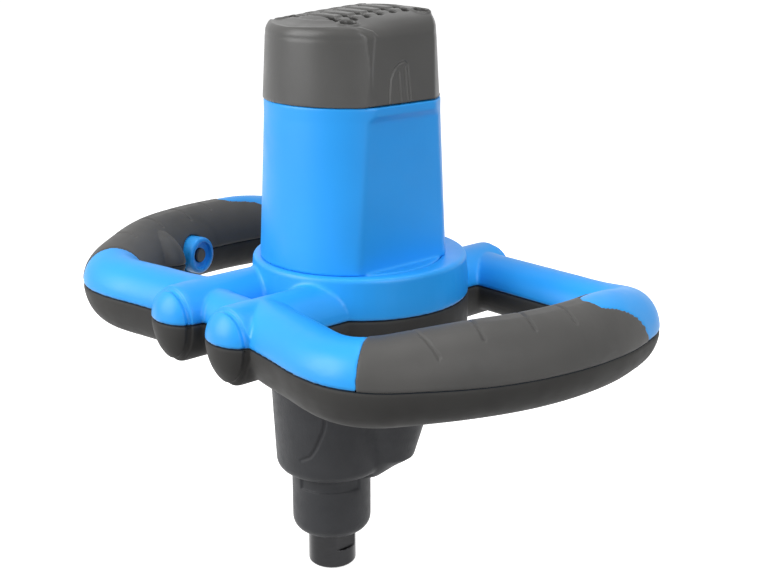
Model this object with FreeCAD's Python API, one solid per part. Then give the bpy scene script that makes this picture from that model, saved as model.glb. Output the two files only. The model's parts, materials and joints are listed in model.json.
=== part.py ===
import FreeCAD, Part
import math
import os

Vec = FreeCAD.Vector
os.makedirs("parts", exist_ok=True)

# Two-handled mixing drill. Origin on the spindle axis at the spindle's end face, +Z up,
# -Y to the front, the trigger on the -X grip. Millimetres throughout.

# Clearances
running_clearance = 0.04      # radial, between a turning shaft and its bearing
seat_clearance = 0.05         # radial, between a fixed piece and its pocket
slide_clearance = 0.08        # radial, between a sliding button and its guide
body_gap = 0.4                # between pieces that move past each other
skin_gap = 0.2                # under the soft grip covers
end_gap = 0.2                 # at the ends of bearings and clips
screw_clearance = 0.25        # radial, around a screw's shank
head_clearance = 0.4          # radial, around a screw's head
tap_depth = 0.5               # hole beyond the end of a screw
past = 1.0                    # cuts run this far past a face
bite = 0.01                   # joined pieces of one solid overlap by this much
far = 400.0                   # larger than the whole drill

# Spindle
spindle_d = 28.0
spindle_nose = 22.0           # length that shows below the neck
spindle_core_d = 20.0         # seats of the bearings and of the gear
spindle_collar_d = 19.0       # between the two bearings
nose_clearance = 0.5          # spindle in the neck's mouth
spindle_chamfer = 1.2
thread_core_d = 11.8          # core of the M14 thread
thread_depth = 27.0
spindle_end = 4.0             # above the gear
flat_width = 24.0             # across the wrench flats
flat_bottom = 11.5
flat_height = 9.5

# Rolling bearings: bore, outside, width
lower_spindle_bearing = (spindle_core_d, 37.0, 9.0)
upper_spindle_bearing = (spindle_core_d, 42.0, 12.0)
countershaft_bearing = (8.0, 22.0, 7.0)
armature_lower_bearing = (12.0, 28.0, 8.0)
armature_upper_bearing = (8.0, 22.0, 7.0)
seal_width = 7.0
seal_outer_d = 36.0
seal_lip = 3.0                # casting under the seal
seal_shell = 1.6
seal_edge = 1.4
seal_recess = 3.2
ring_share = 0.3              # of a bearing's height, each of its two rings
shield_depth = 0.5

# Gears
spindle_module = 1.5
spindle_teeth = 36
countershaft_pinion_teeth = 10
motor_module = 1.0
countershaft_teeth = 48
motor_pinion_teeth = 8
pressure_angle = math.radians(20.0)
profile_shift = 0.5           # plus on the pinions, minus on the wheels
backlash = 0.16
tip_land = 0.35               # least width of a tooth at its tip
spindle_gear_width = 20.0
countershaft_gear_width = 12.0
pinion_overlap = 2.0          # a pinion is longer than its wheel at each end
countershaft_d = 10.0
pinion_relief = 0.2           # shaft under the roots of the cut pinion
pinion_run = 1.0              # motor pinion above its wheel
gear_hub = 6.0                # hub under the spindle gear
hub_wall = 3.0
wheel_rim = 5.0
wheel_hub = 4.0
web_recess = 2.5
wheel_drop = 3.0              # wheel below the bearing plate's seat
circlip_width = 1.2
circlip_depth = 0.8
circlip_height = 2.2
circlip_mouth = 3.0
key_width = 6.0
key_height = 5.0
key_length = 14.0

# Motor axis, behind the spindle axis
motor_offset = 18.0

# Gearbox casting
neck_d = 46.0
neck_length = 37.0
neck_fillet = 8.0
neck_groove_height = 7.0
neck_groove_depth = 1.2
neck_groove_drop = 1.5
neck_groove_x = 16.5          # the groove runs round to these two planes
neck_groove_y = 5.5
neck_sink = 1.0               # neck standing in the body
bearing_floor = 4.0           # casting under the upper bearing
casting_wall = 3.5
body_foot_r = 31.5
body_top_r = 35.0
body_fillet = 6.0
gear_side_room = 1.5          # between gear tips and casting
gear_end_room = 2.0
pinion_room = 2.5
lobe_floor = 4.5
flange_r = 52.5
flange_thickness = 9.0
flare_height = 20.0           # body spreading out to the flange
flare_inset = 1.0
flange_lip = 2.0
tail_height = 10.0            # lobe running back to the neck
tail_share = 0.6              # place of the tail's end between the axes
lobe_taper = 10.0             # countershaft lobe widening upwards
lobe_edge = 4.0
bell_height = 10.0            # from the lobe out to the wheel's drum
gearbox_height = 118.0        # from the neck's end to the flange's face

# Bearing plate
plate_r = 49.8
plate_thickness = 12.0
plate_recess = 0.3
plate_shaft_gap = 1.0
plate_screw_circle_r = 44.8
plate_screw_angles = (-35.0, 60.0, 120.0, 215.0)
gearbox_screw_d = 5.0
gearbox_screw_head_d = 8.5
gearbox_screw_head = 5.0
gearbox_screw_grip = 8.0      # thread in the flange
head_sink = 0.2
cross_share = 0.64            # of a screw head's diameter, its cross recess
cross_width = 1.2
cross_depth = 0.5             # of the head's height

# Motor housing
housing_collar_r = 50.0
housing_wall = 3.0
housing_foot_r = 52.3
housing_foot_flat = 41.5      # half width over the flat sides
foot_draw = 0.5               # column's hollow inside the collar's
housing_height = 88.0         # from the frame ring to the cap's seam
housing_top_r = 48.3
housing_top_flat = 41.3
rim_flat = 43.3               # the flats stop short of the seam
rim_height = 4.5
rim_blend = 3.5
stator_rib = 6.0
stator_ribs = 4
least_edge_r = 1.0
column_edge_r = 6.0           # rounding between round and flat faces

# Top cap
cap_overhang = 0.5
cap_height = 33.0             # skirt, up to the shoulder
cap_taper = 2.0
cap_slope = 4.5               # degrees, the crown rises to the rear
crown_rise = 11.0             # shoulder to the edge of the top
crown_front = 5.5             # the edge draws in by this much at front and rear
crown_side = 12.0             # and by this much at the sides
crown_dome = 2.5              # rise of the top inside its edge
crown_turn = 84.0             # degrees of the rounded edge
crown_steps = 4
top_share = 0.6               # of the half width that the dome covers
top_steps = 3
cap_wall = 3.0
vent_count = 6
vent_width = 3.6
vent_pitch = 9.0
vent_radius = 60.0
vent_half_span = 24.0
cap_screw_x = 26.0
cap_screw_front = 25.0
cap_screw_rear = 27.0
cap_screw_d = 4.0
cap_screw_head_d = 8.0
cap_screw_head = 3.5
cap_screw_recess = 14.0
cap_screw_grip = 16.0
cap_boss_d = 13.0
boss_floor = 2.0              # under the screw holes

# Handle frame
ring_offset = 5.0             # ring centre behind the motor axis
ring_top_r = 60.5
ring_foot_r = 62.0
ring_rise = 23.0              # ring's top above the parting plane
ring_fillet = 2.5
ring_drop = 24.0              # ring's foot below the parting plane
ring_foot_fillet = 6.0
upper_wall = 3.0              # under the grip covers
lower_wall = 4.0
tube_x = 24.8                 # the two fore-and-aft tubes
tube_half_width = 17.5
rear_half_width = 15.0
bar_rise = 18.0
bar_drop = 24.0
rear_rise = 15.5              # the rear bars are lower
rear_drop = 18.5
dome_front_y = -97.0
dome_rear_y = 114.0
dome_depth = 13.0
front_bar_y = -66.5
front_corner_x = 108.7
front_corner_y = -79.9
front_corner_r = 33.0
grip_bend_x = 159.5
grip_bend_y = 2.3
grip_bend_r = 150.0
rear_corner_x = 144.0
rear_corner_r = 24.0
rear_bar_y = 91.5
grip_half_width = 20.5
grip_rise = 25.5
grip_drop = 21.5
grip_swell_start = 62.0       # along the handle's centre line
grip_swell_end = 150.0
grip_fade_start = 215.0
grip_fade_end = 285.0
handle_steps = 24             # sections along each handle
web_inset = 3.5               # bars between the tubes are slimmer
cover_thickness = 3.2
cover_reach = 1.6             # cutting line over the grip's half width
cover_front = 87.5            # along the centre line
cover_rear = [(172.0, 86.0), (165.0, 54.0), (161.0, 37.0), (152.0, 33.0), (146.0, 38.0),
              (141.0, 55.0), (134.0, 65.0), (112.0, 66.0)]

# Frame screws
frame_screw_d = 4.0
frame_screw_head_d = 8.0
frame_screw_head = 3.0
frame_screw_seat = 13.0       # below the parting plane
frame_screw_grip = 10.0
frame_boss_d = 11.0
boss_skin = 2.0               # boss ends this far under the outer surface
front_screw_share = 0.35      # along the front corner's arc
rear_screw_share = 0.8        # along the rear bar

# Switch gear in the -X grip
trigger_station = 159.0       # along the centre line
trigger_d = 23.0
trigger_reach = 6.5           # out of the grip's side
trigger_flange_d = 26.0
trigger_flange = 3.0
trigger_flange_at = 5.0       # from the centre line
trigger_travel = 6.0
trigger_dish_d = 17.0
trigger_dish_depth = 3.0
trigger_rim_fillet = 2.0
lock_d = 9.0
lock_length = 13.0
lock_proud = 1.6              # over the dish's floor
lock_travel = 2.5
lock_fillet = 0.8
lock_spring_room = 3.0        # of the pressed lock spring
switch_length = 34.0
switch_depth = 10.0
switch_height = 15.0
switch_room = 1.0             # left behind the pressed trigger
spring_wire = 1.5
spring_side_gap = 0.6
spring_end_gap = 0.1
trigger_spring_inset = 4.0    # from the flange's edge

guard_station = 131.0         # hump in front of the trigger
guard_out = 8.0               # over the grip's side
guard_half_length = 13.0
guard_rise = 22.0
guard_drop = 16.0

# Cord inlet in the rear bar
inlet_x = -72.0
inlet_d = 15.0
inlet_bore_d = 8.5
inlet_flange_d = 19.0
inlet_flange = 2.0
inlet_inside = 4.0
inlet_seat = 0.1

# Motor
shaft_d = armature_lower_bearing[0]
fan_r = 42.0
fan_height = 12.0
fan_disc = 2.0
fan_blades = 11
fan_blade_thickness = 1.6
fan_room = 4.0
fan_hub = 5.0
fan_eye = 8.0
guide_room = 3.0
guide_thickness = 2.0
guide_bore_r = 30.0
stator_length = 54.0
stator_r = 37.5
air_gap = 0.8
armature_r = 24.0
armature_slots = 12
slot_width = 3.0
slot_depth = 9.0
slot_wedge = 1.5
core_overhang = 2.0
coil_inner_r = 27.5
coil_outer_r = 33.5
coil_overhang = 8.0
coil_half_angle = 34.0
coil_slot_room = 2.0          # degrees
coil_split = 1.5              # degrees, half the space between the coils
coil_side_gap = 0.3
coil_window_gap = 1.0
slot_lip = 8.0                # degrees
winding_inner_r = 8.0
winding_outer_r = 21.0
winding_length = 8.0
commutator_r = 14.0
commutator_length = 13.0
commutator_lip = 2.0
commutator_room = 4.0
commutator_bars = 24
commutator_groove = 0.8
bar_gap = 0.6
brush_width = 8.0
brush_height = 10.0
brush_length = 14.0
brush_holder_wall = 1.5
brush_gap = 0.3
brush_spring_wire = 1.2
holder_front = 2.5
holder_gap = 0.6
journal_run = 1.0
spider_thickness = 9.0
spider_arm = 9.0
bearing_boss_wall = 4.0
module_length = 34.0
module_depth = 24.0
module_height = 14.0
module_offset = 6.0
module_fins = 5
fin_margin = 4.0
fin_width = 2.0
fin_depth = 3.0

# Heights that follow from the sizes above
neck_z = spindle_nose
body_z = neck_z + neck_length - neck_sink
seal_z = neck_z + seal_lip
low_bearing_z = seal_z + seal_width + body_gap
up_bearing_z = body_z + bearing_floor
spindle_gear_z = up_bearing_z + upper_spindle_bearing[2] + gear_hub
circlip_z = spindle_gear_z + spindle_gear_width + end_gap
spindle_top = spindle_gear_z + spindle_gear_width + spindle_end
gearbox_top = neck_z + gearbox_height
plate_top = gearbox_top + plate_thickness
parting_z = gearbox_top + ring_drop
ring_top_z = parting_z + ring_rise
seam_z = ring_top_z + housing_height
cap_shoulder_z = seam_z + cap_height
cap_slope_rise = housing_top_r * math.tan(math.radians(cap_slope))
cap_top_z = cap_shoulder_z + crown_rise + crown_dome + cap_slope_rise
ring_y = motor_offset + ring_offset

# Centre distances and the countershaft's place, to the right of both axes
spindle_centres = spindle_module * (spindle_teeth + countershaft_pinion_teeth) / 2.0
motor_centres = motor_module * (countershaft_teeth + motor_pinion_teeth) / 2.0
counter_y = (spindle_centres**2 - motor_centres**2 + motor_offset**2) / (2.0 * motor_offset)
counter_x = math.sqrt(spindle_centres**2 - counter_y**2)
counter_gear_z = gearbox_top - countershaft_gear_width - gear_end_room - wheel_drop
counter_low_z = spindle_gear_z - pinion_overlap - gear_end_room - countershaft_bearing[2]
counter_up_z = gearbox_top + plate_recess


def cylinder(radius, low, high, x=0.0, y=0.0):
    return Part.makeCylinder(radius, high - low, Vec(x, y, low))


def tube(outer_r, inner_r, low, high, x=0.0, y=0.0):
    return cylinder(outer_r, low, high, x, y).cut(cylinder(inner_r, low - past, high + past, x, y))


def block(x0, x1, y0, y1, z0, z1):
    return Part.makeBox(x1 - x0, y1 - y0, z1 - z0, Vec(x0, y0, z0))


def turned(shape, degrees, x=0.0, y=0.0):
    copy = shape.copy()
    copy.rotate(Vec(x, y, 0), Vec(0, 0, 1), degrees)
    return copy


def mirrored(shape):
    return shape.mirror(Vec(0, 0, 0), Vec(1, 0, 0))


def fused(shapes):
    whole = shapes[0]
    for shape in shapes[1:]:
        whole = whole.fuse(shape)
    return whole


def save(shape, name):
    solids = shape.Solids
    kept = solids[0] if len(solids) == 1 else Part.makeCompound(solids)
    kept.exportStep("parts/" + name + ".step")


# Gear teeth


def involute(angle):
    return math.tan(angle) - angle


def gear(module, teeth, shift, low, high, x, y, tooth_at):
    pitch_r = module * teeth / 2.0
    base_r = pitch_r * math.cos(pressure_angle)
    tip_r = pitch_r + module * (1.0 + shift)
    root_r = pitch_r - module * (1.25 - shift)
    thickness = module * (math.pi / 2.0 + 2.0 * shift * math.tan(pressure_angle)) - backlash
    half = thickness / (2.0 * pitch_r) + involute(pressure_angle)

    def flank(radius):
        if radius <= base_r:
            return half
        return half - involute(math.acos(base_r / radius))

    def point(radius, angle):
        return Vec(x + radius * math.cos(angle), y + radius * math.sin(angle), low)

    while 2.0 * tip_r * flank(tip_r) < tip_land:
        tip_r -= tip_land / 10.0
    start_r = max(base_r, root_r)
    middle_r = (start_r + tip_r) / 2.0
    pitch = 2.0 * math.pi / teeth
    edges = []
    for number in range(teeth):
        centre = tooth_at + number * pitch
        if root_r < base_r:
            edges.append(Part.LineSegment(point(root_r, centre - half),
                                          point(start_r, centre - flank(start_r))))
        edges.append(Part.Arc(point(start_r, centre - flank(start_r)),
                              point(middle_r, centre - flank(middle_r)),
                              point(tip_r, centre - flank(tip_r))))
        edges.append(Part.Arc(point(tip_r, centre - flank(tip_r)), point(tip_r, centre),
                              point(tip_r, centre + flank(tip_r))))
        edges.append(Part.Arc(point(tip_r, centre + flank(tip_r)),
                              point(middle_r, centre + flank(middle_r)),
                              point(start_r, centre + flank(start_r))))
        if root_r < base_r:
            edges.append(Part.LineSegment(point(start_r, centre + flank(start_r)),
                                          point(root_r, centre + half)))
        root_half = flank(root_r)
        edges.append(Part.Arc(point(root_r, centre + root_half),
                              point(root_r, centre + pitch / 2.0),
                              point(root_r, centre + pitch - root_half)))
    wire = Part.Wire([edge.toShape() for edge in edges])
    return Part.Face(wire).extrude(Vec(0, 0, high - low))


# Plan outline of the motor column: round front and back, flat sides, rounded edges between


def column_wire(z, radius, flat, edge_r):
    inner = radius - edge_r
    edge_x = flat - edge_r
    edge_y = math.sqrt(inner * inner - edge_x * edge_x)
    reach = radius / inner
    lean = math.atan2(edge_y, edge_x) / 2.0

    def at(px, py):
        return Vec(px, motor_offset + py, z)

    def corner(side, way):
        middle = at(side * (edge_x + edge_r * math.cos(lean)),
                    way * (edge_y + edge_r * math.sin(lean)))
        return (at(side * edge_x * reach, way * edge_y * reach), middle, at(side * flat, way * edge_y))

    front_left, front_right = corner(-1, -1), corner(1, -1)
    rear_left, rear_right = corner(-1, 1), corner(1, 1)
    arcs = [Part.Arc(front_left[0], at(0, -radius), front_right[0]), Part.Arc(*front_right),
            Part.LineSegment(front_right[2], rear_right[2]), Part.Arc(*rear_right[::-1]),
            Part.Arc(rear_right[0], at(0, radius), rear_left[0]), Part.Arc(*rear_left),
            Part.LineSegment(rear_left[2], front_left[2]), Part.Arc(*front_left[::-1])]
    return Part.Wire([arc.toShape() for arc in arcs])


def inset_wire(z, radius, flat, inset):
    edge_r = max(column_edge_r - inset, least_edge_r)
    return column_wire(z, radius - inset, flat - inset, edge_r)


def foot_wire(inset):
    return inset_wire(ring_top_z, housing_foot_r, housing_foot_flat, inset)


def top_wire(z, inset):
    return inset_wire(z, housing_top_r, housing_top_flat, inset)


def rim_wire(z, inset):
    return inset_wire(z, housing_top_r, rim_flat, inset)


def column_solid():
    rim_z = seam_z - rim_height
    wires = [foot_wire(0.0), top_wire(rim_z - rim_blend, 0.0), rim_wire(rim_z, 0.0),
             rim_wire(seam_z, 0.0)]
    return Part.makeLoft(wires, True, True)


def column_hollow():
    foot = foot_wire(foot_step + housing_wall + foot_draw)
    rising = Part.makeLoft([foot, top_wire(seam_z, housing_wall)], True, True)
    return rising.fuse(Part.Face(foot).extrude(Vec(0, 0, -2.0 * housing_wall)))


# Centre line of one handle in plan: straight runs joined by tangent arcs


def handle_line():
    corners = [(tube_x, front_bar_y), (front_corner_x, front_corner_y),
               (grip_bend_x, grip_bend_y), (rear_corner_x, rear_bar_y), (tube_x, rear_bar_y)]
    radii = [front_corner_r, grip_bend_r, rear_corner_r]
    pieces = []
    start = Vec(corners[0][0], corners[0][1], 0)
    for number, radius in enumerate(radii):
        corner = Vec(corners[number + 1][0], corners[number + 1][1], 0)
        following = Vec(corners[number + 2][0], corners[number + 2][1], 0)
        before = (corner - Vec(corners[number][0], corners[number][1], 0)).normalize()
        after = (following - corner).normalize()
        turn = math.acos(max(-1.0, min(1.0, before.dot(after))))
        reach = radius * math.tan(turn / 2.0)
        arc_start = corner - before * reach
        centre = arc_start + Vec(-before.y, before.x, 0) * radius
        pieces.append(("run", start, before, (arc_start - start).Length))
        pieces.append(("arc", centre, math.atan2(before.y, before.x), radius, radius * turn))
        start = corner + after * reach
    last = Vec(corners[-1][0], corners[-1][1], 0)
    pieces.append(("run", start, (last - start).normalize(), (last - start).Length))
    return pieces


def handle_at(distance):
    for piece in handle_pieces:
        length = piece[-1]
        if distance <= length or piece is handle_pieces[-1]:
            break
        distance -= length
    if piece[0] == "run":
        spot = piece[1] + piece[2] * distance
        return spot, math.atan2(piece[2].y, piece[2].x)
    heading = piece[2] + distance / piece[3]
    spot = piece[1] + Vec(math.sin(heading), -math.cos(heading), 0) * piece[3]
    return spot, heading


handle_pieces = handle_line()
handle_length = sum(piece[-1] for piece in handle_pieces)


def handle_stations():
    return [handle_length * step / handle_steps for step in range(handle_steps + 1)]


def eased(value):
    value = max(0.0, min(1.0, value))
    return value * value * (3.0 - 2.0 * value)


def grip_share(distance):
    swell = eased((distance - grip_swell_start) / (grip_swell_end - grip_swell_start))
    fade = eased((grip_fade_end - distance) / (grip_fade_end - grip_fade_start))
    return swell * fade


def half_oval(centre, across, half_width, half_height, way):
    tip = centre + Vec(0, 0, way * half_height)
    side = centre + across * half_width
    ellipse = Part.Ellipse(tip, side, centre)
    arc = Part.ArcOfEllipse(ellipse, -math.pi / 2.0, math.pi / 2.0).toShape()
    ends = [vertex.Point for vertex in arc.Vertexes]
    return Part.Wire([arc, Part.LineSegment(ends[1], ends[0]).toShape()])


def handle_solid(upper, inset):
    front_height = bar_rise if upper else bar_drop
    rear_height = rear_rise if upper else rear_drop
    grip_height = grip_rise if upper else grip_drop
    wires = []
    for distance in handle_stations():
        spot, heading = handle_at(distance)
        share = grip_share(distance)
        back = eased((distance - grip_swell_end) / (grip_fade_end - grip_swell_end))
        plain_width = tube_half_width + back * (rear_half_width - tube_half_width)
        plain_height = front_height + back * (rear_height - front_height)
        half_width = plain_width + share * (grip_half_width - plain_width) - inset
        half_height = plain_height + share * (grip_height - plain_height) - inset
        across = Vec(math.sin(heading), -math.cos(heading), 0)
        wires.append(half_oval(Vec(spot.x, spot.y, parting_z), across, half_width, half_height,
                               1.0 if upper else -1.0))
    return Part.makeLoft(wires, True, False)


def quarter_oval(centre, one, other):
    if (one - centre).Length < (other - centre).Length:
        one, other = other, one
    ellipse = Part.Ellipse(one, other, centre)
    return Part.ArcOfEllipse(ellipse, 0.0, math.pi / 2.0).toShape()


def tube_solid(upper, inset):
    radius = tube_half_width - inset
    rise = bar_rise if upper else bar_drop
    front = dome_front_y + dome_depth
    rear = dome_rear_y - dome_depth

    def at(py, r):
        return Vec(tube_x + r, py, parting_z)

    front_tip = at(dome_front_y + inset, 0)
    rear_tip = at(dome_rear_y - inset, 0)
    edges = [quarter_oval(at(front, 0), front_tip, at(front, radius)),
             Part.LineSegment(at(front, radius), at(rear, radius)).toShape(),
             quarter_oval(at(rear, 0), rear_tip, at(rear, radius)),
             Part.LineSegment(rear_tip, front_tip).toShape()]
    face = Part.Face(Part.Wire(edges))
    solid = face.revolve(Vec(tube_x, 0, parting_z), Vec(0, -1 if upper else 1, 0), 180)
    matrix = FreeCAD.Matrix()
    matrix.move(Vec(0, 0, -parting_z))
    matrix.scale(1.0, 1.0, (rise - inset) / radius)
    matrix.move(Vec(0, 0, parting_z))
    return solid.transformGeometry(matrix)


def web_solid(upper, y):
    rise = bar_rise if upper else bar_drop
    wire = half_oval(Vec(0, y, parting_z), Vec(0, 1, 0), tube_half_width - web_inset,
                     rise - web_inset, 1.0 if upper else -1.0)
    return Part.Face(wire).extrude(Vec(tube_x, 0, 0))



def ring_solid(upper):
    if upper:
        ring = Part.makeCone(ring_foot_r, ring_top_r, ring_rise, Vec(0, ring_y, parting_z))
        edge_z = ring_top_z
        radius = ring_fillet
    else:
        ring = cylinder(ring_foot_r, parting_z - ring_drop, parting_z, 0, ring_y)
        edge_z = parting_z - ring_drop
        radius = ring_foot_fillet
    rim = [edge for edge in ring.Edges
           if edge.BoundBox.ZLength < 0.01 and abs(edge.BoundBox.ZMin - edge_z) < 0.01]
    ring = ring.makeFillet(radius, rim)
    return ring.common(block(0, far, -far, far, 0, far))


def frame_side(upper):
    return fused([tube_solid(upper, 0.0), web_solid(upper, front_bar_y),
                  web_solid(upper, rear_bar_y), handle_solid(upper, 0.0), ring_solid(upper)])


# Grip cover area in plan, for the +X handle


def cover_prism():
    spot, heading = handle_at(cover_front)
    across = Vec(math.sin(heading), -math.cos(heading), 0)
    reach = cover_reach * grip_half_width
    inner_front = spot - across * reach
    outer_front = spot + across * reach
    rear = [Vec(x, y, 0) for x, y in cover_rear]
    corners = [inner_front, outer_front, Vec(far, outer_front.y, 0), Vec(far, rear[0].y, 0)] + rear
    raised = [Vec(corner.x, corner.y, parting_z) for corner in corners]
    face = Part.Face(Part.makePolygon(raised + raised[:1]))
    return face.extrude(Vec(0, 0, far))


# Frame screws stand in the domes, the front corners and the rear corners
front_screw_spot = handle_at(handle_pieces[0][-1] + handle_pieces[1][-1] * front_screw_share)[0]
rear_screw_spot = handle_at(handle_length - handle_pieces[-1][-1] * rear_screw_share)[0]
rear_corner_spot = (rear_screw_spot.x, rear_screw_spot.y)
right_spots = [(tube_x, front_bar_y), (tube_x, rear_bar_y),
               (front_screw_spot.x, front_screw_spot.y), rear_corner_spot]
frame_spots = right_spots + [(-x, y) for x, y in right_spots]


def boss_reach(upper, spot):
    if spot == rear_corner_spot:
        return (rear_rise if upper else rear_drop) - boss_skin
    return (bar_rise if upper else bar_drop) - boss_skin


# Switch gear is drawn about the -X grip's centre line, local +X pointing at the hand gap
trigger_spot, trigger_heading = handle_at(trigger_station)
trigger_angle = 90.0 - math.degrees(trigger_heading)
trigger_side = tube_half_width + grip_share(trigger_station) * (grip_half_width - tube_half_width)


def in_grip(shape):
    copy = shape.copy()
    copy.Placement = FreeCAD.Placement(Vec(-trigger_spot.x, trigger_spot.y, parting_z),
                                       FreeCAD.Rotation(Vec(0, 0, 1), trigger_angle))
    return copy


def along_x(radius, low, high):
    return Part.makeCylinder(radius, high - low, Vec(low, 0, 0), Vec(1, 0, 0))


trigger_tip = trigger_side + trigger_reach
dish_floor = trigger_tip - trigger_dish_depth
lock_tip = dish_floor + lock_proud
switch_face = trigger_flange_at - trigger_travel - switch_room
hole_start = trigger_flange_at + trigger_flange + body_gap
trigger_hole = in_grip(along_x(trigger_d / 2.0 + body_gap, hole_start, 2.0 * trigger_tip))
lock_bore_start = lock_tip - lock_length - lock_travel - lock_spring_room


# Hump on the -X grip that keeps the hand off the trigger


def guard_solid(upper):
    spot, heading = handle_at(guard_station)
    height = guard_rise if upper else guard_drop
    hump = Part.makeSphere(1.0)
    matrix = FreeCAD.Matrix()
    matrix.scale(grip_half_width + guard_out, guard_half_length, height)
    hump = hump.transformGeometry(matrix).common(block(0, far, -far, far, -far, far))
    hump.Placement = FreeCAD.Placement(Vec(-spot.x, spot.y, parting_z),
                                       FreeCAD.Rotation(Vec(0, 0, 1), 90.0 - math.degrees(heading)))
    low = parting_z if upper else parting_z - far
    hump = hump.common(block(-far, far, -far, far, low, low + far))
    return hump.cut(mirrored(handle_solid(upper, cover_thickness)))


def make_spindle():
    core_r = spindle_core_d / 2.0
    collar_low = low_bearing_z + lower_spindle_bearing[2] + body_gap
    nose_top = low_bearing_z - body_gap
    shape = fused([cylinder(spindle_d / 2.0, 0, nose_top), cylinder(core_r, 0, spindle_top),
                   cylinder(spindle_collar_d / 2.0, collar_low, up_bearing_z - body_gap)])
    cone_r = spindle_d / 2.0 - spindle_chamfer
    keep = Part.makeCone(cone_r, spindle_d, spindle_d - cone_r, Vec(0, 0, 0))
    keep = keep.fuse(cylinder(spindle_d, spindle_d - cone_r, spindle_top + past))
    shape = shape.common(keep)
    for side in (-1, 1):
        inner = side * flat_width / 2.0
        outer = side * spindle_d
        shape = shape.cut(block(min(inner, outer), max(inner, outer), -spindle_d, spindle_d,
                                flat_bottom, flat_bottom + flat_height))
    shape = shape.cut(cylinder(thread_core_d / 2.0, -1, thread_depth))
    shape = shape.cut(tube(core_r + past, core_r - circlip_depth, circlip_z,
                           circlip_z + circlip_width))
    return shape.cut(key_block())


def key_block():
    middle = spindle_gear_z + spindle_gear_width / 2.0
    seat = spindle_core_d / 2.0 - key_height / 2.0
    return block(seat, seat + key_height, -key_width / 2.0, key_width / 2.0,
                 middle - key_length / 2.0, middle + key_length / 2.0)


def make_spindle_gear():
    towards = math.atan2(counter_y, counter_x)
    shape = gear(spindle_module, spindle_teeth, -profile_shift, spindle_gear_z,
                 spindle_gear_z + spindle_gear_width, 0, 0, towards)
    hub_low = up_bearing_z + upper_spindle_bearing[2] + body_gap
    shape = shape.fuse(cylinder(spindle_core_d / 2.0 + hub_wall, hub_low, spindle_gear_z))
    shape = shape.cut(cylinder(spindle_core_d / 2.0, hub_low - past, spindle_top))
    slot = block(0, spindle_core_d / 2.0 + key_height / 2.0, -key_width / 2.0, key_width / 2.0,
                 hub_low - past, spindle_top)
    return shape.cut(slot)


def make_circlip():
    inner_r = spindle_core_d / 2.0 - circlip_depth
    high = circlip_z + circlip_width
    clip = tube(spindle_core_d / 2.0 + circlip_height, inner_r, circlip_z, high)
    half = circlip_mouth / 2.0
    return clip.cut(block(0, far, -half, half, circlip_z - past, high + past))


def make_key():
    return key_block()


def bearing(sizes, low, x=0.0, y=0.0):
    bore, outside, width = sizes
    inner_r = bore / 2.0 + running_clearance
    outer_r = outside / 2.0 - seat_clearance
    shape = tube(outer_r, inner_r, low, low + width, x, y)
    rib = (outer_r - inner_r) * ring_share
    for bottom in (low - past, low + width - shield_depth):
        shape = shape.cut(tube(outer_r - rib, inner_r + rib, bottom,
                               bottom + past + shield_depth, x, y))
    return shape


def make_shaft_seal():
    inner_r = spindle_d / 2.0 + running_clearance
    outer_r = seal_outer_d / 2.0 - seat_clearance
    shape = tube(outer_r, inner_r, seal_z, seal_z + seal_width)
    return shape.cut(tube(outer_r - seal_shell, inner_r + seal_edge, seal_z - past,
                          seal_z + seal_recess))


def make_countershaft():
    pinion_low = spindle_gear_z - pinion_overlap
    pinion_high = spindle_gear_z + spindle_gear_width + pinion_overlap
    away = math.atan2(counter_y, counter_x) + math.pi + math.pi / countershaft_pinion_teeth
    journal_r = countershaft_bearing[0] / 2.0
    low_end = counter_low_z
    high_end = counter_up_z + countershaft_bearing[2] - plate_recess
    shape = fused([
        gear(spindle_module, countershaft_pinion_teeth, profile_shift, pinion_low, pinion_high,
             counter_x, counter_y, away),
        cylinder(journal_r, low_end, high_end, counter_x, counter_y),
        cylinder(countershaft_d / 2.0, counter_low_z + countershaft_bearing[2] + body_gap,
                 counter_up_z - body_gap, counter_x, counter_y)])
    return shape


def make_countershaft_gear():
    towards = math.atan2(motor_offset - counter_y, -counter_x)
    high = counter_gear_z + countershaft_gear_width
    shape = gear(motor_module, countershaft_teeth, -profile_shift, counter_gear_z, high,
                 counter_x, counter_y, towards)
    web_r = motor_module * countershaft_teeth / 2.0 - wheel_rim
    hub_r = countershaft_d / 2.0 + wheel_hub
    for low in (counter_gear_z - past, high - web_recess):
        shape = shape.cut(tube(web_r, hub_r, low, low + past + web_recess, counter_x, counter_y))
    return shape.cut(cylinder(countershaft_d / 2.0, counter_gear_z - past, high + past,
                              counter_x, counter_y))


def plate_screw_spots():
    spots = []
    for degrees in plate_screw_angles:
        angle = math.radians(degrees)
        spots.append((plate_screw_circle_r * math.cos(angle),
                      motor_offset + plate_screw_circle_r * math.sin(angle)))
    return spots


def foot_edges(shape, z):
    return [edge for edge in shape.Edges if abs(edge.BoundBox.ZMax - z) < 0.01]


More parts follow.
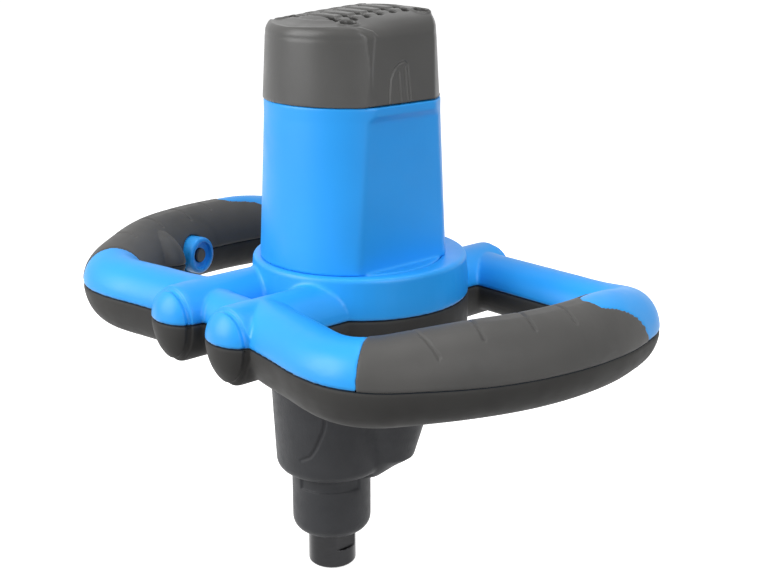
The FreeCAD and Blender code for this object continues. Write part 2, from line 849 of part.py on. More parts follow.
def make_gearbox_housing():
    tip_r = spindle_module * (spindle_teeth / 2.0 + 1.0 - profile_shift)
    wheel_r = motor_module * (countershaft_teeth / 2.0 + 1.0 - profile_shift)
    pinion_r = spindle_module * (countershaft_pinion_teeth / 2.0 + 1.0 + profile_shift)
    chamber_r = tip_r + gear_side_room
    wheel_room_r = wheel_r + gear_side_room
    pinion_room_r = pinion_r + pinion_room
    lobe_r = countershaft_bearing[1] / 2.0 + casting_wall
    lobe_foot = counter_low_z - lobe_floor
    shoulder_z = counter_gear_z - gear_end_room - casting_wall
    neck = cylinder(neck_d / 2.0, neck_z, body_z + neck_sink)
    neck = neck.makeFillet(neck_fillet, foot_edges(neck, neck_z))
    groove_top = body_z - neck_groove_drop
    groove = tube(neck_d, neck_d / 2.0 - neck_groove_depth, groove_top - neck_groove_height,
                  groove_top)
    neck = neck.cut(groove.common(block(-far, neck_groove_x, -far, neck_groove_y, 0, far)))
    body = Part.makeCone(body_foot_r, body_top_r, gearbox_top - body_z, Vec(0, 0, body_z))
    body = body.makeFillet(body_fillet, foot_edges(body, body_z))
    lobe_low = lobe_foot + lobe_edge
    lobe_high = shoulder_z - bell_height
    tail_end = Vec(counter_x * tail_share, counter_y * tail_share, lobe_foot - tail_height)
    tail = Part.makeLoft([
        Part.Wire([Part.Circle(tail_end, Vec(0, 0, 1), lobe_r * tail_share).toShape()]),
        Part.Wire([Part.Circle(Vec(counter_x, counter_y, lobe_low), Vec(0, 0, 1),
                               lobe_r).toShape()])], True, True)
    lobe = Part.makeCone(lobe_r, lobe_r + lobe_taper, lobe_high - lobe_low,
                         Vec(counter_x, counter_y, lobe_low))
    bell = Part.makeCone(lobe_r + lobe_taper, wheel_room_r + casting_wall,
                         casting_wall + bell_height, Vec(counter_x, counter_y, lobe_high))
    drum = cylinder(wheel_room_r + casting_wall, shoulder_z + casting_wall - bite, gearbox_top,
                    counter_x, counter_y)
    flare_z = gearbox_top - flange_thickness
    flange = cylinder(flange_r, flare_z, gearbox_top, 0, motor_offset)
    flare = Part.makeLoft([
        Part.Wire([Part.Circle(Vec(0, 0, flare_z - flare_height), Vec(0, 0, 1),
                               body_top_r - flare_inset).toShape()]),
        Part.Wire([Part.Circle(Vec(0, motor_offset, flare_z), Vec(0, 0, 1),
                               flange_r - flange_lip).toShape()])], True, True)
    shape = fused([neck, body, tail, lobe, bell, drum, flange, flare])
    low_r = lower_spindle_bearing[1] / 2.0
    up_r = upper_spindle_bearing[1] / 2.0
    counter_r = countershaft_bearing[1] / 2.0
    hollows = [
        cylinder(spindle_d / 2.0 + nose_clearance, neck_z - past, seal_z + past),
        cylinder(seal_outer_d / 2.0, seal_z, low_bearing_z),
        cylinder(low_r, low_bearing_z - end_gap, up_bearing_z + end_gap),
        cylinder(up_r, up_bearing_z, up_bearing_z + upper_spindle_bearing[2] + 2.0 * end_gap),
        cylinder(chamber_r, up_bearing_z + upper_spindle_bearing[2] + end_gap, gearbox_top + past),
        cylinder(counter_r, counter_low_z, gearbox_top + past, counter_x, counter_y),
        cylinder(pinion_room_r, counter_low_z + countershaft_bearing[2] + end_gap, gearbox_top + past,
                 counter_x, counter_y),
        cylinder(wheel_room_r, counter_gear_z - gear_end_room, gearbox_top + past,
                 counter_x, counter_y)]
    for x, y in plate_screw_spots():
        hollows.append(cylinder(gearbox_screw_d / 2.0, gearbox_top - gearbox_screw_grip - tap_depth,
                                gearbox_top + past, x, y))
    for hollow in hollows:
        shape = shape.cut(hollow)
    return shape


def make_bearing_plate():
    shape = cylinder(plate_r, gearbox_top, plate_top, 0, motor_offset)
    low_r = armature_lower_bearing[1] / 2.0
    shape = shape.cut(cylinder(low_r, plate_top - armature_lower_bearing[2], plate_top + past,
                               0, motor_offset))
    shape = shape.cut(cylinder(shaft_d / 2.0 + plate_shaft_gap, gearbox_top - past, plate_top + past,
                               0, motor_offset))
    shape = shape.cut(cylinder(countershaft_bearing[1] / 2.0, gearbox_top - past,
                               counter_up_z + countershaft_bearing[2], counter_x, counter_y))
    for x, y in plate_screw_spots():
        shape = shape.cut(cylinder(gearbox_screw_d / 2.0 + screw_clearance, gearbox_top - past,
                                   plate_top + past, x, y))
        shape = shape.cut(cylinder(gearbox_screw_head_d / 2.0 + head_clearance,
                                   plate_top - gearbox_screw_head - head_sink, plate_top + past, x, y))
    return shape


def screw(shank_d, head_d, head, length, x, y, seat_z, upward):
    reach = head_d * cross_share / 2.0
    recess = block(-reach, reach, -cross_width / 2.0, cross_width / 2.0, 0, head * cross_depth)
    cross = recess.fuse(turned(recess, 90))
    shape = cylinder(shank_d / 2.0 - seat_clearance, 0, length).fuse(
        cylinder(head_d / 2.0, -head, 0.0))
    cross.translate(Vec(0, 0, -head))
    shape = shape.cut(cross)
    if not upward:
        shape.rotate(Vec(0, 0, 0), Vec(1, 0, 0), 180)
    shape.translate(Vec(x, y, seat_z))
    return shape


def make_gearbox_screws():
    seat = plate_top - gearbox_screw_head - head_sink
    length = seat - gearbox_top + gearbox_screw_grip
    return Part.makeCompound([screw(gearbox_screw_d, gearbox_screw_head_d, gearbox_screw_head,
                                    length, x, y, seat, False) for x, y in plate_screw_spots()])


cap_spots = [(side * cap_screw_x, motor_offset + y) for side in (-1, 1)
             for y in (-cap_screw_front, cap_screw_rear)]
armature_up_z = seam_z - spider_thickness
cap_screw_seat = cap_top_z - cap_screw_recess
foot_step = housing_foot_r - housing_collar_r


def make_motor_housing():
    outer = cylinder(housing_collar_r, plate_top, ring_top_z + bite, 0, motor_offset)
    outer = outer.fuse(column_solid())
    hollow = cylinder(housing_collar_r - housing_wall, plate_top - past, ring_top_z - housing_wall,
                      0, motor_offset)
    shell = outer.cut(hollow).cut(column_hollow())
    spider = cylinder(armature_upper_bearing[1] / 2.0 + bearing_boss_wall, armature_up_z, seam_z,
                      0, motor_offset)
    for x, y in cap_spots:
        reach = math.hypot(x, y - motor_offset)
        arm = block(0, reach + housing_top_r, -spider_arm / 2.0, spider_arm / 2.0,
                    armature_up_z, seam_z)
        arm.translate(Vec(0, motor_offset, 0))
        arm = turned(arm, math.degrees(math.atan2(y - motor_offset, x)), 0, motor_offset)
        boss = cylinder(cap_boss_d / 2.0, seam_z - cap_screw_grip - boss_floor, seam_z, x, y)
        spider = spider.fuse(arm).fuse(boss)
    ribs = []
    rib_low = stator_z
    for number in range(stator_ribs):
        rib = block(stator_r, housing_foot_r, -stator_rib / 2.0, stator_rib / 2.0,
                    rib_low, rib_low + stator_length)
        rib.translate(Vec(0, motor_offset, 0))
        ribs.append(turned(rib, 360.0 * (number + 0.5) / stator_ribs, 0, motor_offset))
    inner = fused([spider] + ribs).common(outer)
    shape = shell.fuse(inner)
    shape = shape.cut(cylinder(stator_r + seat_clearance, rib_low - past,
                               rib_low + stator_length + past, 0, motor_offset))
    shape = shape.cut(cylinder(armature_upper_bearing[1] / 2.0, armature_up_z - past,
                               armature_up_z + armature_upper_bearing[2], 0, motor_offset))
    for x, y in cap_spots:
        shape = shape.cut(cylinder(cap_screw_d / 2.0, seam_z - cap_screw_grip, seam_z + past, x, y))
    return shape


def crown_wire(height, front, side, degrees):
    edge_r = max(column_edge_r - front, least_edge_r)
    wire = column_wire(cap_shoulder_z + height, housing_top_r - front, housing_top_flat - side, edge_r)
    wire.rotate(Vec(0, motor_offset, cap_shoulder_z), Vec(1, 0, 0), degrees)
    return wire


def cap_form(inset):
    start = inset - cap_overhang + cap_taper
    base = rim_wire(seam_z, inset - cap_overhang)
    shoulder = top_wire(cap_shoulder_z, start)
    skirt = Part.makeLoft([base, shoulder], True, True)
    rise = crown_rise - inset
    crown = [shoulder]
    for step in range(1, crown_steps + 1):
        angle = math.radians(crown_turn * step / crown_steps)
        front = start + crown_front * (1.0 - math.cos(angle))
        side = start + crown_side * (1.0 - math.cos(angle))
        height = rise * math.sin(angle)
        crown.append(crown_wire(height, front, side, cap_slope * math.sin(angle)))
    half = housing_top_flat - side
    for step in range(1, top_steps + 1):
        share = top_share * step / top_steps
        dome = crown_dome * (1.0 - (1.0 - share)**2)
        crown.append(crown_wire(height + dome, front + half * share, side + half * share, cap_slope))
    return skirt.fuse(Part.makeLoft(crown, True, False))


def make_top_cap():
    outer = cap_form(0.0)
    shape = outer.cut(cap_form(cap_wall).fuse(cap_form(cap_wall).translated(Vec(0, 0, -past))))
    for x, y in cap_spots:
        boss = cylinder(cap_boss_d / 2.0, seam_z, cap_top_z, x, y).common(outer)
        shape = shape.fuse(boss)
    for x, y in cap_spots:
        shape = shape.cut(cylinder(cap_screw_d / 2.0 + screw_clearance, seam_z - past, cap_top_z, x, y))
        shape = shape.cut(cylinder(cap_screw_head_d / 2.0 + head_clearance, cap_screw_seat,
                                   cap_top_z + past, x, y))
    first = motor_offset - vent_pitch * (vent_count - 1) / 2.0
    for number in range(vent_count):
        crest = first + vent_pitch * number
        slot = tube(vent_radius + vent_width / 2.0, vent_radius - vent_width / 2.0,
                    cap_shoulder_z, cap_top_z + past, 0, crest - vent_radius)
        window = block(-vent_half_span, vent_half_span, crest - vent_radius, crest + vent_width,
                       cap_shoulder_z - past, cap_top_z + past)
        ends = [cylinder(cap_boss_d / 2.0, cap_shoulder_z - past, cap_top_z + past, x, y)
                for x, y in cap_spots]
        slot = slot.common(window)
        for end in ends:
            slot = slot.cut(end)
        shape = shape.cut(slot)
    return shape


def make_cap_screws():
    length = cap_screw_seat - seam_z + cap_screw_grip - tap_depth
    return Part.makeCompound([screw(cap_screw_d, cap_screw_head_d, cap_screw_head, length, x, y,
                                    cap_screw_seat, False) for x, y in cap_spots])


def inlet_hole(radius):
    return Part.makeCylinder(radius, far, Vec(inlet_x, rear_bar_y, parting_z), Vec(0, 1, 0))


def shell_side(upper):
    outer = frame_side(upper)
    inset = upper_wall + cover_thickness if upper else lower_wall
    bore_r = housing_collar_r + body_gap
    keep = cylinder(bore_r + lower_wall, 0, far, 0, motor_offset)
    shape = outer.cut(handle_solid(upper, inset)).cut(tube_solid(upper, inset).cut(keep))
    for spot in right_spots:
        reach = boss_reach(upper, spot)
        low = parting_z if upper else parting_z - reach
        shape = shape.fuse(cylinder(frame_boss_d / 2.0, low, low + reach, *spot))
    shape = shape.cut(cylinder(bore_r, 0, far, 0, motor_offset))
    for x, y in right_spots:
        if upper:
            shape = shape.cut(cylinder(frame_screw_d / 2.0, parting_z - past,
                                       parting_z + frame_screw_grip + tap_depth, x, y))
        else:
            shape = shape.cut(cylinder(frame_screw_d / 2.0 + screw_clearance, 0, parting_z + past, x, y))
            shape = shape.cut(cylinder(frame_screw_head_d / 2.0 + head_clearance, 0,
                                       parting_z - frame_screw_seat, x, y))
    if upper:
        shape = shape.cut(cover_skin(skin_gap))
    return shape


def make_frame_shell(upper):
    side = shell_side(upper)
    shape = side.fuse(mirrored(side)).cut(trigger_hole)
    if not upper:
        shape = shape.fuse(guard_solid(False))
    return shape.cut(inlet_hole(inlet_d / 2.0 + seat_clearance))


def cover_skin(gap):
    core = handle_solid(True, cover_thickness + gap)
    return handle_solid(True, 0.0).common(cover_prism()).cut(core)


def make_frame_screws():
    length = frame_screw_seat + frame_screw_grip
    return Part.makeCompound([screw(frame_screw_d, frame_screw_head_d, frame_screw_head, length,
                                    x, y, parting_z - frame_screw_seat, True)
                              for x, y in frame_spots])


def make_trigger():
    shape = along_x(trigger_d / 2.0, trigger_flange_at, trigger_tip)
    rim = [edge for edge in shape.Edges if abs(edge.BoundBox.XMin - trigger_tip) < 0.01]
    shape = shape.makeFillet(trigger_rim_fillet, rim)
    shape = shape.fuse(along_x(trigger_flange_d / 2.0, trigger_flange_at,
                               trigger_flange_at + trigger_flange))
    shape = shape.cut(along_x(trigger_dish_d / 2.0, dish_floor, trigger_tip + past))
    bore_r = lock_d / 2.0 + slide_clearance
    shape = shape.cut(along_x(bore_r, lock_bore_start, trigger_tip + past))
    return in_grip(shape)


def make_lock_button():
    shape = along_x(lock_d / 2.0, lock_tip - lock_length, lock_tip)
    rim = [edge for edge in shape.Edges if abs(edge.BoundBox.XMin - lock_tip) < 0.01]
    return in_grip(shape.makeFillet(lock_fillet, rim))


def make_lock_spring():
    outer_r = lock_d / 2.0 - spring_side_gap
    outer = along_x(outer_r, lock_bore_start, lock_tip - lock_length - spring_end_gap)
    return in_grip(outer.cut(along_x(outer_r - spring_wire, lock_bore_start - past, lock_tip)))


def make_trigger_spring():
    outer_r = trigger_flange_d / 2.0 - trigger_spring_inset
    outer = along_x(outer_r, switch_face, trigger_flange_at - spring_end_gap)
    return in_grip(outer.cut(along_x(outer_r - spring_wire, switch_face - past, trigger_flange_at)))


def make_switch_body():
    shape = Part.makeBox(switch_depth, switch_length, switch_height,
                         Vec(switch_face - switch_depth, -switch_length / 2.0,
                             -switch_height / 2.0))
    return in_grip(shape)


def make_cord_inlet():
    face_y = rear_bar_y + rear_half_width
    low = face_y - lower_wall - inlet_inside

    def barrel(radius, start, length):
        return Part.makeCylinder(radius, length, Vec(inlet_x, start, parting_z), Vec(0, 1, 0))

    seat_y = face_y + inlet_seat
    length = seat_y + inlet_flange - low
    shape = barrel(inlet_d / 2.0, low, length).fuse(
        barrel(inlet_flange_d / 2.0, seat_y, inlet_flange))
    return shape.cut(barrel(inlet_bore_d / 2.0, low - past, length + 2.0 * past))


# Motor
fan_z = plate_top + fan_room
guide_z = fan_z + fan_height + guide_room
stator_z = guide_z + guide_thickness + coil_overhang
core_z = stator_z - core_overhang
core_length = stator_length + 2.0 * core_overhang
commutator_z = core_z + core_length + winding_length + commutator_room
shaft_top = armature_up_z + armature_upper_bearing[2]
pinion_z = counter_gear_z - pinion_overlap
brush_z = commutator_z + (commutator_length + commutator_lip) / 2.0


def make_armature_shaft():
    pinion_high = counter_gear_z + countershaft_gear_width + pinion_run
    towards = math.atan2(counter_y - motor_offset, counter_x)
    journal_low = plate_top - armature_lower_bearing[2]
    shape = gear(motor_module, motor_pinion_teeth, profile_shift, pinion_z, pinion_high,
                 0, motor_offset, towards + math.pi / motor_pinion_teeth)
    neck_r = motor_module * (motor_pinion_teeth / 2.0 - 1.25 + profile_shift) - pinion_relief
    parts = [cylinder(neck_r, pinion_z, journal_low, 0, motor_offset),
             cylinder(shaft_d / 2.0, journal_low - journal_run, armature_up_z - body_gap,
                      0, motor_offset),
             cylinder(armature_upper_bearing[0] / 2.0, journal_low, shaft_top,
                      0, motor_offset)]
    return fused([shape] + parts)


def on_shaft(shape, low, high):
    return shape.cut(cylinder(shaft_d / 2.0, low - past, high + past, 0, motor_offset))


def make_armature_core():
    high = core_z + core_length
    shape = cylinder(armature_r, core_z, high, 0, motor_offset)
    slot = block(armature_r - slot_depth, armature_r + past, -slot_width / 2.0, slot_width / 2.0,
                 core_z - past, high + past)
    slot.translate(Vec(0, motor_offset, 0))
    for number in range(armature_slots):
        shape = shape.cut(turned(slot, 360.0 * number / armature_slots, 0, motor_offset))
    return on_shaft(shape, core_z, high)


def make_armature_windings():
    low = core_z - winding_length
    high = core_z + core_length + winding_length
    shapes = [tube(winding_outer_r, winding_inner_r, low, core_z, 0, motor_offset),
              tube(winding_outer_r, winding_inner_r, core_z + core_length, high, 0, motor_offset)]
    outer = armature_r - slot_wedge
    inner = armature_r - slot_depth
    width = slot_width / 2.0 - seat_clearance
    for number in range(armature_slots):
        bar = block(inner + seat_clearance, outer, -width, width, core_z, core_z + core_length)
        bar.translate(Vec(0, motor_offset, 0))
        shapes.append(turned(bar, 360.0 * number / armature_slots, 0, motor_offset))
    return fused(shapes)


def make_commutator():
    high = commutator_z + commutator_length
    shape = cylinder(commutator_r, commutator_z, high, 0, motor_offset)
    shape = shape.fuse(cylinder(commutator_r + commutator_lip, commutator_z,
                                commutator_z + commutator_lip, 0, motor_offset))
    slot = block(commutator_r - commutator_groove, commutator_r + commutator_lip + past,
                 -bar_gap / 2.0, bar_gap / 2.0, commutator_z - past, high + past)
    slot.translate(Vec(0, motor_offset, 0))
    for number in range(commutator_bars):
        shape = shape.cut(turned(slot, 360.0 * number / commutator_bars, 0, motor_offset))
    return on_shaft(shape, commutator_z, high)


def make_fan():
    high = fan_z + fan_height
    shape = cylinder(fan_r, fan_z, fan_z + fan_disc, 0, motor_offset)
    shape = shape.fuse(cylinder(shaft_d / 2.0 + fan_hub, fan_z, high, 0, motor_offset))
    blade = block(shaft_d / 2.0 + fan_eye, fan_r, -fan_blade_thickness / 2.0,
                  fan_blade_thickness / 2.0, fan_z, high)
    blade.translate(Vec(0, motor_offset, 0))
    for number in range(fan_blades):
        shape = shape.fuse(turned(blade, 360.0 * number / fan_blades, 0, motor_offset))
    return on_shaft(shape, fan_z, high)


def make_air_guide_ring():
    return tube(housing_collar_r - housing_wall - seat_clearance, guide_bore_r, guide_z,
                guide_z + guide_thickness, 0, motor_offset)


def sector(inner_r, outer_r, low, high, start, sweep):
    shape = tube(outer_r, inner_r, low, high, 0, motor_offset)
    wedge = Part.makeCylinder(outer_r * 2.0, high - low + 2.0 * past, Vec(0, motor_offset, low - past),
                              Vec(0, 0, 1), sweep)
    return shape.common(turned(wedge, start, 0, motor_offset))


def make_stator_core():
    bore_r = armature_r + air_gap
    high = stator_z + stator_length
    shape = tube(stator_r, bore_r, stator_z, high, 0, motor_offset)
    slot_half = coil_half_angle + coil_slot_room
    mouth_half = slot_half - slot_lip
    for side in (0.0, 180.0):
        shape = shape.cut(sector(coil_inner_r - coil_side_gap, coil_outer_r + coil_side_gap,
                                 stator_z - past, high + past, side - slot_half, 2.0 * slot_half))
        shape = shape.cut(sector(bore_r - past, coil_inner_r, stator_z - past, high + past,
                                 side - mouth_half, 2.0 * mouth_half))
    return shape


def make_field_coils():
    low = stator_z - coil_overhang
    high = stator_z + stator_length + coil_overhang
    coils = []
    for side in (0.0, 180.0):
        whole = sector(coil_inner_r, coil_outer_r, low, high, side + coil_split,
                       180.0 - 2.0 * coil_split)
        window = sector(coil_inner_r - past, coil_outer_r + past, stator_z - coil_window_gap,
                        stator_z + stator_length + coil_window_gap, side + coil_half_angle,
                        180.0 - 2.0 * coil_half_angle)
        coils.append(whole.cut(window))
    return Part.makeCompound(coils)


def housing_half_at(z):
    share = (z - ring_top_z) / housing_height
    foot = housing_foot_flat - housing_wall - foot_step - foot_draw
    return foot + share * (housing_top_flat - housing_wall - foot)


def brush_pair(shape):
    other = turned(shape, 180, 0, motor_offset)
    return Part.makeCompound([shape, other])


def make_brush_holders():
    outer_x = housing_half_at(brush_z + brush_height) - holder_gap
    wide = brush_width / 2.0 + brush_holder_wall
    tall = brush_height / 2.0 + brush_holder_wall
    low_x = commutator_r + holder_front
    shape = block(low_x, outer_x, motor_offset - wide, motor_offset + wide,
                  brush_z - tall, brush_z + tall)
    hole = block(low_x - past, outer_x - brush_holder_wall, motor_offset - brush_width / 2.0,
                 motor_offset + brush_width / 2.0, brush_z - brush_height / 2.0,
                 brush_z + brush_height / 2.0)
    return brush_pair(shape.cut(hole))


def make_carbon_brushes():
    start = commutator_r + brush_gap
    slack = seat_clearance
    return brush_pair(block(start, start + brush_length, motor_offset - brush_width / 2.0 + slack,
                            motor_offset + brush_width / 2.0 - slack,
                            brush_z - brush_height / 2.0 + slack,
                            brush_z + brush_height / 2.0 - slack))


def make_brush_springs():
    start = commutator_r + brush_gap + brush_length + spring_end_gap
    back = housing_half_at(brush_z + brush_height) - holder_gap - brush_holder_wall
    length = back - spring_end_gap - start
    radius = brush_width / 2.0 - spring_side_gap
    spring = Part.makeCylinder(radius, length, Vec(start, motor_offset, brush_z), Vec(1, 0, 0))
    core = Part.makeCylinder(radius - brush_spring_wire, length + 2.0 * past,
                             Vec(start - past, motor_offset, brush_z), Vec(1, 0, 0))
    return brush_pair(spring.cut(core))


def make_control_module():
    low_y = motor_offset + module_offset
    pitch = (module_length - 2.0 * fin_margin - fin_width) / (module_fins - 1)
    top = seam_z + module_height
    shape = block(-module_length / 2.0, module_length / 2.0, low_y, low_y + module_depth,
                  seam_z, top)
    for number in range(module_fins):
        fin_x = -module_length / 2.0 + fin_margin + number * pitch
        shape = shape.cut(block(fin_x, fin_x + fin_width, low_y - past, low_y + module_depth + past,
                                top - fin_depth, top + past))
    return shape


# Write every node
left_cover = cover_skin(0.0)
right_cover = mirrored(left_cover).cut(trigger_hole).fuse(guard_solid(True))

save(make_spindle(), "spindle")
save(make_spindle_gear(), "spindle_gear")
save(make_key(), "gear_key")
save(make_circlip(), "circlip")
save(bearing(lower_spindle_bearing, low_bearing_z), "spindle_lower_bearing")
save(bearing(upper_spindle_bearing, up_bearing_z), "spindle_upper_bearing")
save(make_shaft_seal(), "shaft_seal")
save(make_countershaft(), "countershaft")
save(make_countershaft_gear(), "countershaft_gear")
save(bearing(countershaft_bearing, counter_low_z, counter_x, counter_y),
     "countershaft_lower_bearing")
save(bearing(countershaft_bearing, counter_up_z, counter_x, counter_y),
     "countershaft_upper_bearing")
save(make_gearbox_housing(), "gearbox_housing")
save(make_bearing_plate(), "bearing_plate")
save(make_gearbox_screws(), "gearbox_screws")
save(make_motor_housing(), "motor_housing")
save(make_top_cap(), "top_cap")
save(make_cap_screws(), "cap_screws")
save(make_frame_shell(True), "upper_frame_shell")
save(make_frame_shell(False), "lower_frame_shell")
save(left_cover, "left_grip_cover")
save(right_cover, "right_grip_cover")
save(make_frame_screws(), "frame_screws")
save(make_trigger(), "trigger")
save(make_lock_button(), "lock_button")
save(make_trigger_spring(), "trigger_spring")
save(make_lock_spring(), "lock_spring")
save(make_switch_body(), "switch_body")
save(make_cord_inlet(), "cord_inlet")
save(make_armature_shaft(), "armature_shaft")
save(make_armature_core(), "armature_core")
save(make_armature_windings(), "armature_windings")
save(make_commutator(), "commutator")
save(make_fan(), "fan")
save(make_air_guide_ring(), "air_guide_ring")
save(bearing(armature_lower_bearing, plate_top - armature_lower_bearing[2], 0, motor_offset),
     "armature_lower_bearing")
save(bearing(armature_upper_bearing, armature_up_z, 0, motor_offset), "armature_upper_bearing")
save(make_stator_core(), "stator_core")
save(make_field_coils(), "field_coils")
save(make_brush_holders(), "brush_holders")
save(make_carbon_brushes(), "carbon_brushes")
save(make_brush_springs(), "brush_springs")
save(make_control_module(), "control_module")
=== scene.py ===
import json
import math

import bpy
import numpy as np
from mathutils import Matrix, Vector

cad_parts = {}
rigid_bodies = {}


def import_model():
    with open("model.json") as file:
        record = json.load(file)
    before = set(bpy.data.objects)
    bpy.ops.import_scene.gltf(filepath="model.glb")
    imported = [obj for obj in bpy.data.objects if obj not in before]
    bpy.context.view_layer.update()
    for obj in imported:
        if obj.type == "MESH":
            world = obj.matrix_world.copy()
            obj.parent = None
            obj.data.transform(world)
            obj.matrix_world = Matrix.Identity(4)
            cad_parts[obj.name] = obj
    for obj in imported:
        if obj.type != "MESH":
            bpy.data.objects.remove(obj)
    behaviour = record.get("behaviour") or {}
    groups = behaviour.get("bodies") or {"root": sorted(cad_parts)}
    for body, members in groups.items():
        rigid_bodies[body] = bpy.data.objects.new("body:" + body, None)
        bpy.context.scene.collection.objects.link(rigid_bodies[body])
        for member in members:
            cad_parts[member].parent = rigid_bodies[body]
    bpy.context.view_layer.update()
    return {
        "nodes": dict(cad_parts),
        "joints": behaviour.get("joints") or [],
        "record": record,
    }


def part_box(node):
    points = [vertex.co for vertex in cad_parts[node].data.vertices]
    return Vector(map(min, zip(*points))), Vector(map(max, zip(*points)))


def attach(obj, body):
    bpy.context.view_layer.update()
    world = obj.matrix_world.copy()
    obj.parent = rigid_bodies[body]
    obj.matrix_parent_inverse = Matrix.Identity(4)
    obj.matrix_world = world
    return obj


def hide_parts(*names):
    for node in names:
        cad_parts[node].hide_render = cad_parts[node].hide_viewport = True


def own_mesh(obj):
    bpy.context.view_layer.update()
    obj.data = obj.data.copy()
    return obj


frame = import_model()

scene = bpy.context.scene
scene.view_settings.view_transform = "Standard"
bpy.ops.object.select_all(action="DESELECT")
print("frame loaded with", len(frame["nodes"]), "nodes")

# settings shared by the helpers: weld and outOfReach in metres, the others plain factors
helperLook = {"weld": 0.00002, "smooth": 0.5, "fineReach": 2.5, "facing": 0.2, "outward": 0.35,
              "ringFlat": 1.4, "outOfReach": 1.0}


# small helpers used on every piece
def selectOnly(piece):
    bpy.ops.object.select_all(action="DESELECT")
    piece.select_set(True)
    bpy.context.view_layer.objects.active = piece


def editWhole(piece):
    selectOnly(piece)
    bpy.ops.object.mode_set(mode="EDIT")
    bpy.ops.mesh.select_all(action="SELECT")


def editPoints(piece, chosen):
    selectOnly(piece)
    bpy.ops.object.mode_set(mode="EDIT")
    bpy.ops.mesh.select_mode(type="VERT")
    bpy.ops.mesh.select_all(action="DESELECT")
    bpy.ops.object.mode_set(mode="OBJECT")
    piece.data.vertices.foreach_set("select", chosen)
    bpy.ops.object.mode_set(mode="EDIT")


def leaveEdit():
    bpy.ops.object.mode_set(mode="OBJECT")


def applyAll(piece):
    selectOnly(piece)
    for modifier in list(piece.modifiers):
        bpy.ops.object.modifier_apply(modifier=modifier.name)


def nodeCopy(nodeName, pieceName):
    piece = bpy.data.objects.new(pieceName, frame["nodes"][nodeName].data.copy())
    scene.collection.objects.link(piece)
    editWhole(piece)
    bpy.ops.mesh.remove_doubles(threshold=helperLook["weld"])  # the node comes as loose triangles
    leaveEdit()
    piece.data.materials.clear()
    return piece


def boxMiddle(nodeName):
    low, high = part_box(nodeName)
    return np.mean([low, high], axis=0)


def softened(piece, voxel, rounds):
    even = piece.modifiers.new("even", "REMESH")
    even.mode = "VOXEL"
    even.voxel_size = voxel
    soft = piece.modifiers.new("soft", "SMOOTH")
    soft.factor = helperLook["smooth"]
    soft.iterations = rounds
    applyAll(piece)


def pointsOf(mesh):
    flat = np.empty(len(mesh.vertices) * 3)
    mesh.vertices.foreach_get("co", flat)
    return flat.reshape(-1, 3)


def normalsOf(mesh):
    flat = np.empty(len(mesh.vertices) * 3)
    mesh.vertex_normals.foreach_get("vector", flat)
    return flat.reshape(-1, 3)


# normals as if every point lay on the +X side, so that both sides are treated alike
def foldedNormals(mesh):
    normals = normalsOf(mesh)
    normals[:, 0] *= np.where(pointsOf(mesh)[:, 0] < 0.0, -1.0, 1.0)
    return normals


def setPoints(mesh, points):
    mesh.vertices.foreach_set("co", np.ascontiguousarray(points).ravel())
    mesh.update()


# inner corners where tubes and walls meet get a moulded fillet
def fillCorners(piece, hollow, grow, rounds, lowest=0.0):
    mesh = piece.data
    points = pointsOf(mesh)
    ends = np.empty(len(mesh.edges) * 2, dtype=np.int32)
    mesh.edges.foreach_get("vertices", ends)
    one, other = ends.reshape(-1, 2).T
    here, there = np.concatenate((one, other)), np.concatenate((other, one))
    count = np.bincount(here, minlength=len(points))
    total = np.stack([np.bincount(here, points[there, axis], len(points)) for axis in range(3)], axis=1)
    sag = ((total / count[:, None] - points) * normalsOf(mesh)).sum(axis=1)
    editPoints(piece, (sag > hollow) & (points[:, 2] > lowest))
    for step in range(grow):
        bpy.ops.mesh.select_more()
    bpy.ops.mesh.vertices_smooth(factor=helperLook["smooth"], repeat=rounds)
    leaveEdit()


# distance of points, in a plane or in space, from a drawn line
def lineDistance(spots, line):
    best = np.full(len(spots), np.inf)
    for start, end in zip(line[:-1], line[1:]):
        start, end = np.array(start), np.array(end)
        run = end - start
        share = np.clip(((spots - start) @ run) / (run @ run), 0.0, 1.0)
        gap = np.linalg.norm(spots - start - share[:, None] * run, axis=1)
        best = np.minimum(best, gap)
    return best


# a finer mesh where a small feature will be pressed in
def refine(piece, near):
    editPoints(piece, near)
    bpy.ops.mesh.subdivide(number_cuts=1)
    leaveEdit()


def eased(share):
    share = np.clip(share, 0.0, 1.0)
    return share * share * (3.0 - 2.0 * share)


def pushIn(piece, amount):
    setPoints(piece.data, pointsOf(piece.data) - normalsOf(piece.data) * amount[:, None])


# shallow grooves pressed into a surface along lines drawn on one of its views or in space
def pressGrooves(piece, lines, axes, facing, width, depth):
    def nearness():
        points = pointsOf(piece.data)
        gap = np.min([lineDistance(points[:, axes], line) for line in lines], axis=0)
        turned = foldedNormals(piece.data) @ np.array(facing)
        return np.where(turned > helperLook["facing"], gap, helperLook["outOfReach"])
    refine(piece, nearness() < helperLook["fineReach"] * width)
    pushIn(piece, depth * eased(1.0 - nearness() / width))


# grooves round the tubes that run fore and aft
def pressRings(piece, look):
    def nearness():
        points = pointsOf(piece.data)
        out = np.stack((np.abs(points[:, 0]) - look["tubeX"], points[:, 2] - look["tubeZ"]), axis=1)
        reach = np.linalg.norm(out, axis=1)
        turned = (out * foldedNormals(piece.data)[:, [0, 2]]).sum(axis=1)
        onTube = (turned > helperLook["outward"] * reach) & (reach < look["tubeReach"])
        gap = np.min([np.abs(points[:, 1] - place) for place in look["rings"]], axis=0)
        return np.where(onTube, gap, helperLook["outOfReach"])
    refine(piece, nearness() < helperLook["fineReach"] * look["ringWidth"])
    flat = helperLook["ringFlat"]
    pushIn(piece, look["ringDepth"] * eased(flat - flat * nearness() / look["ringWidth"]))


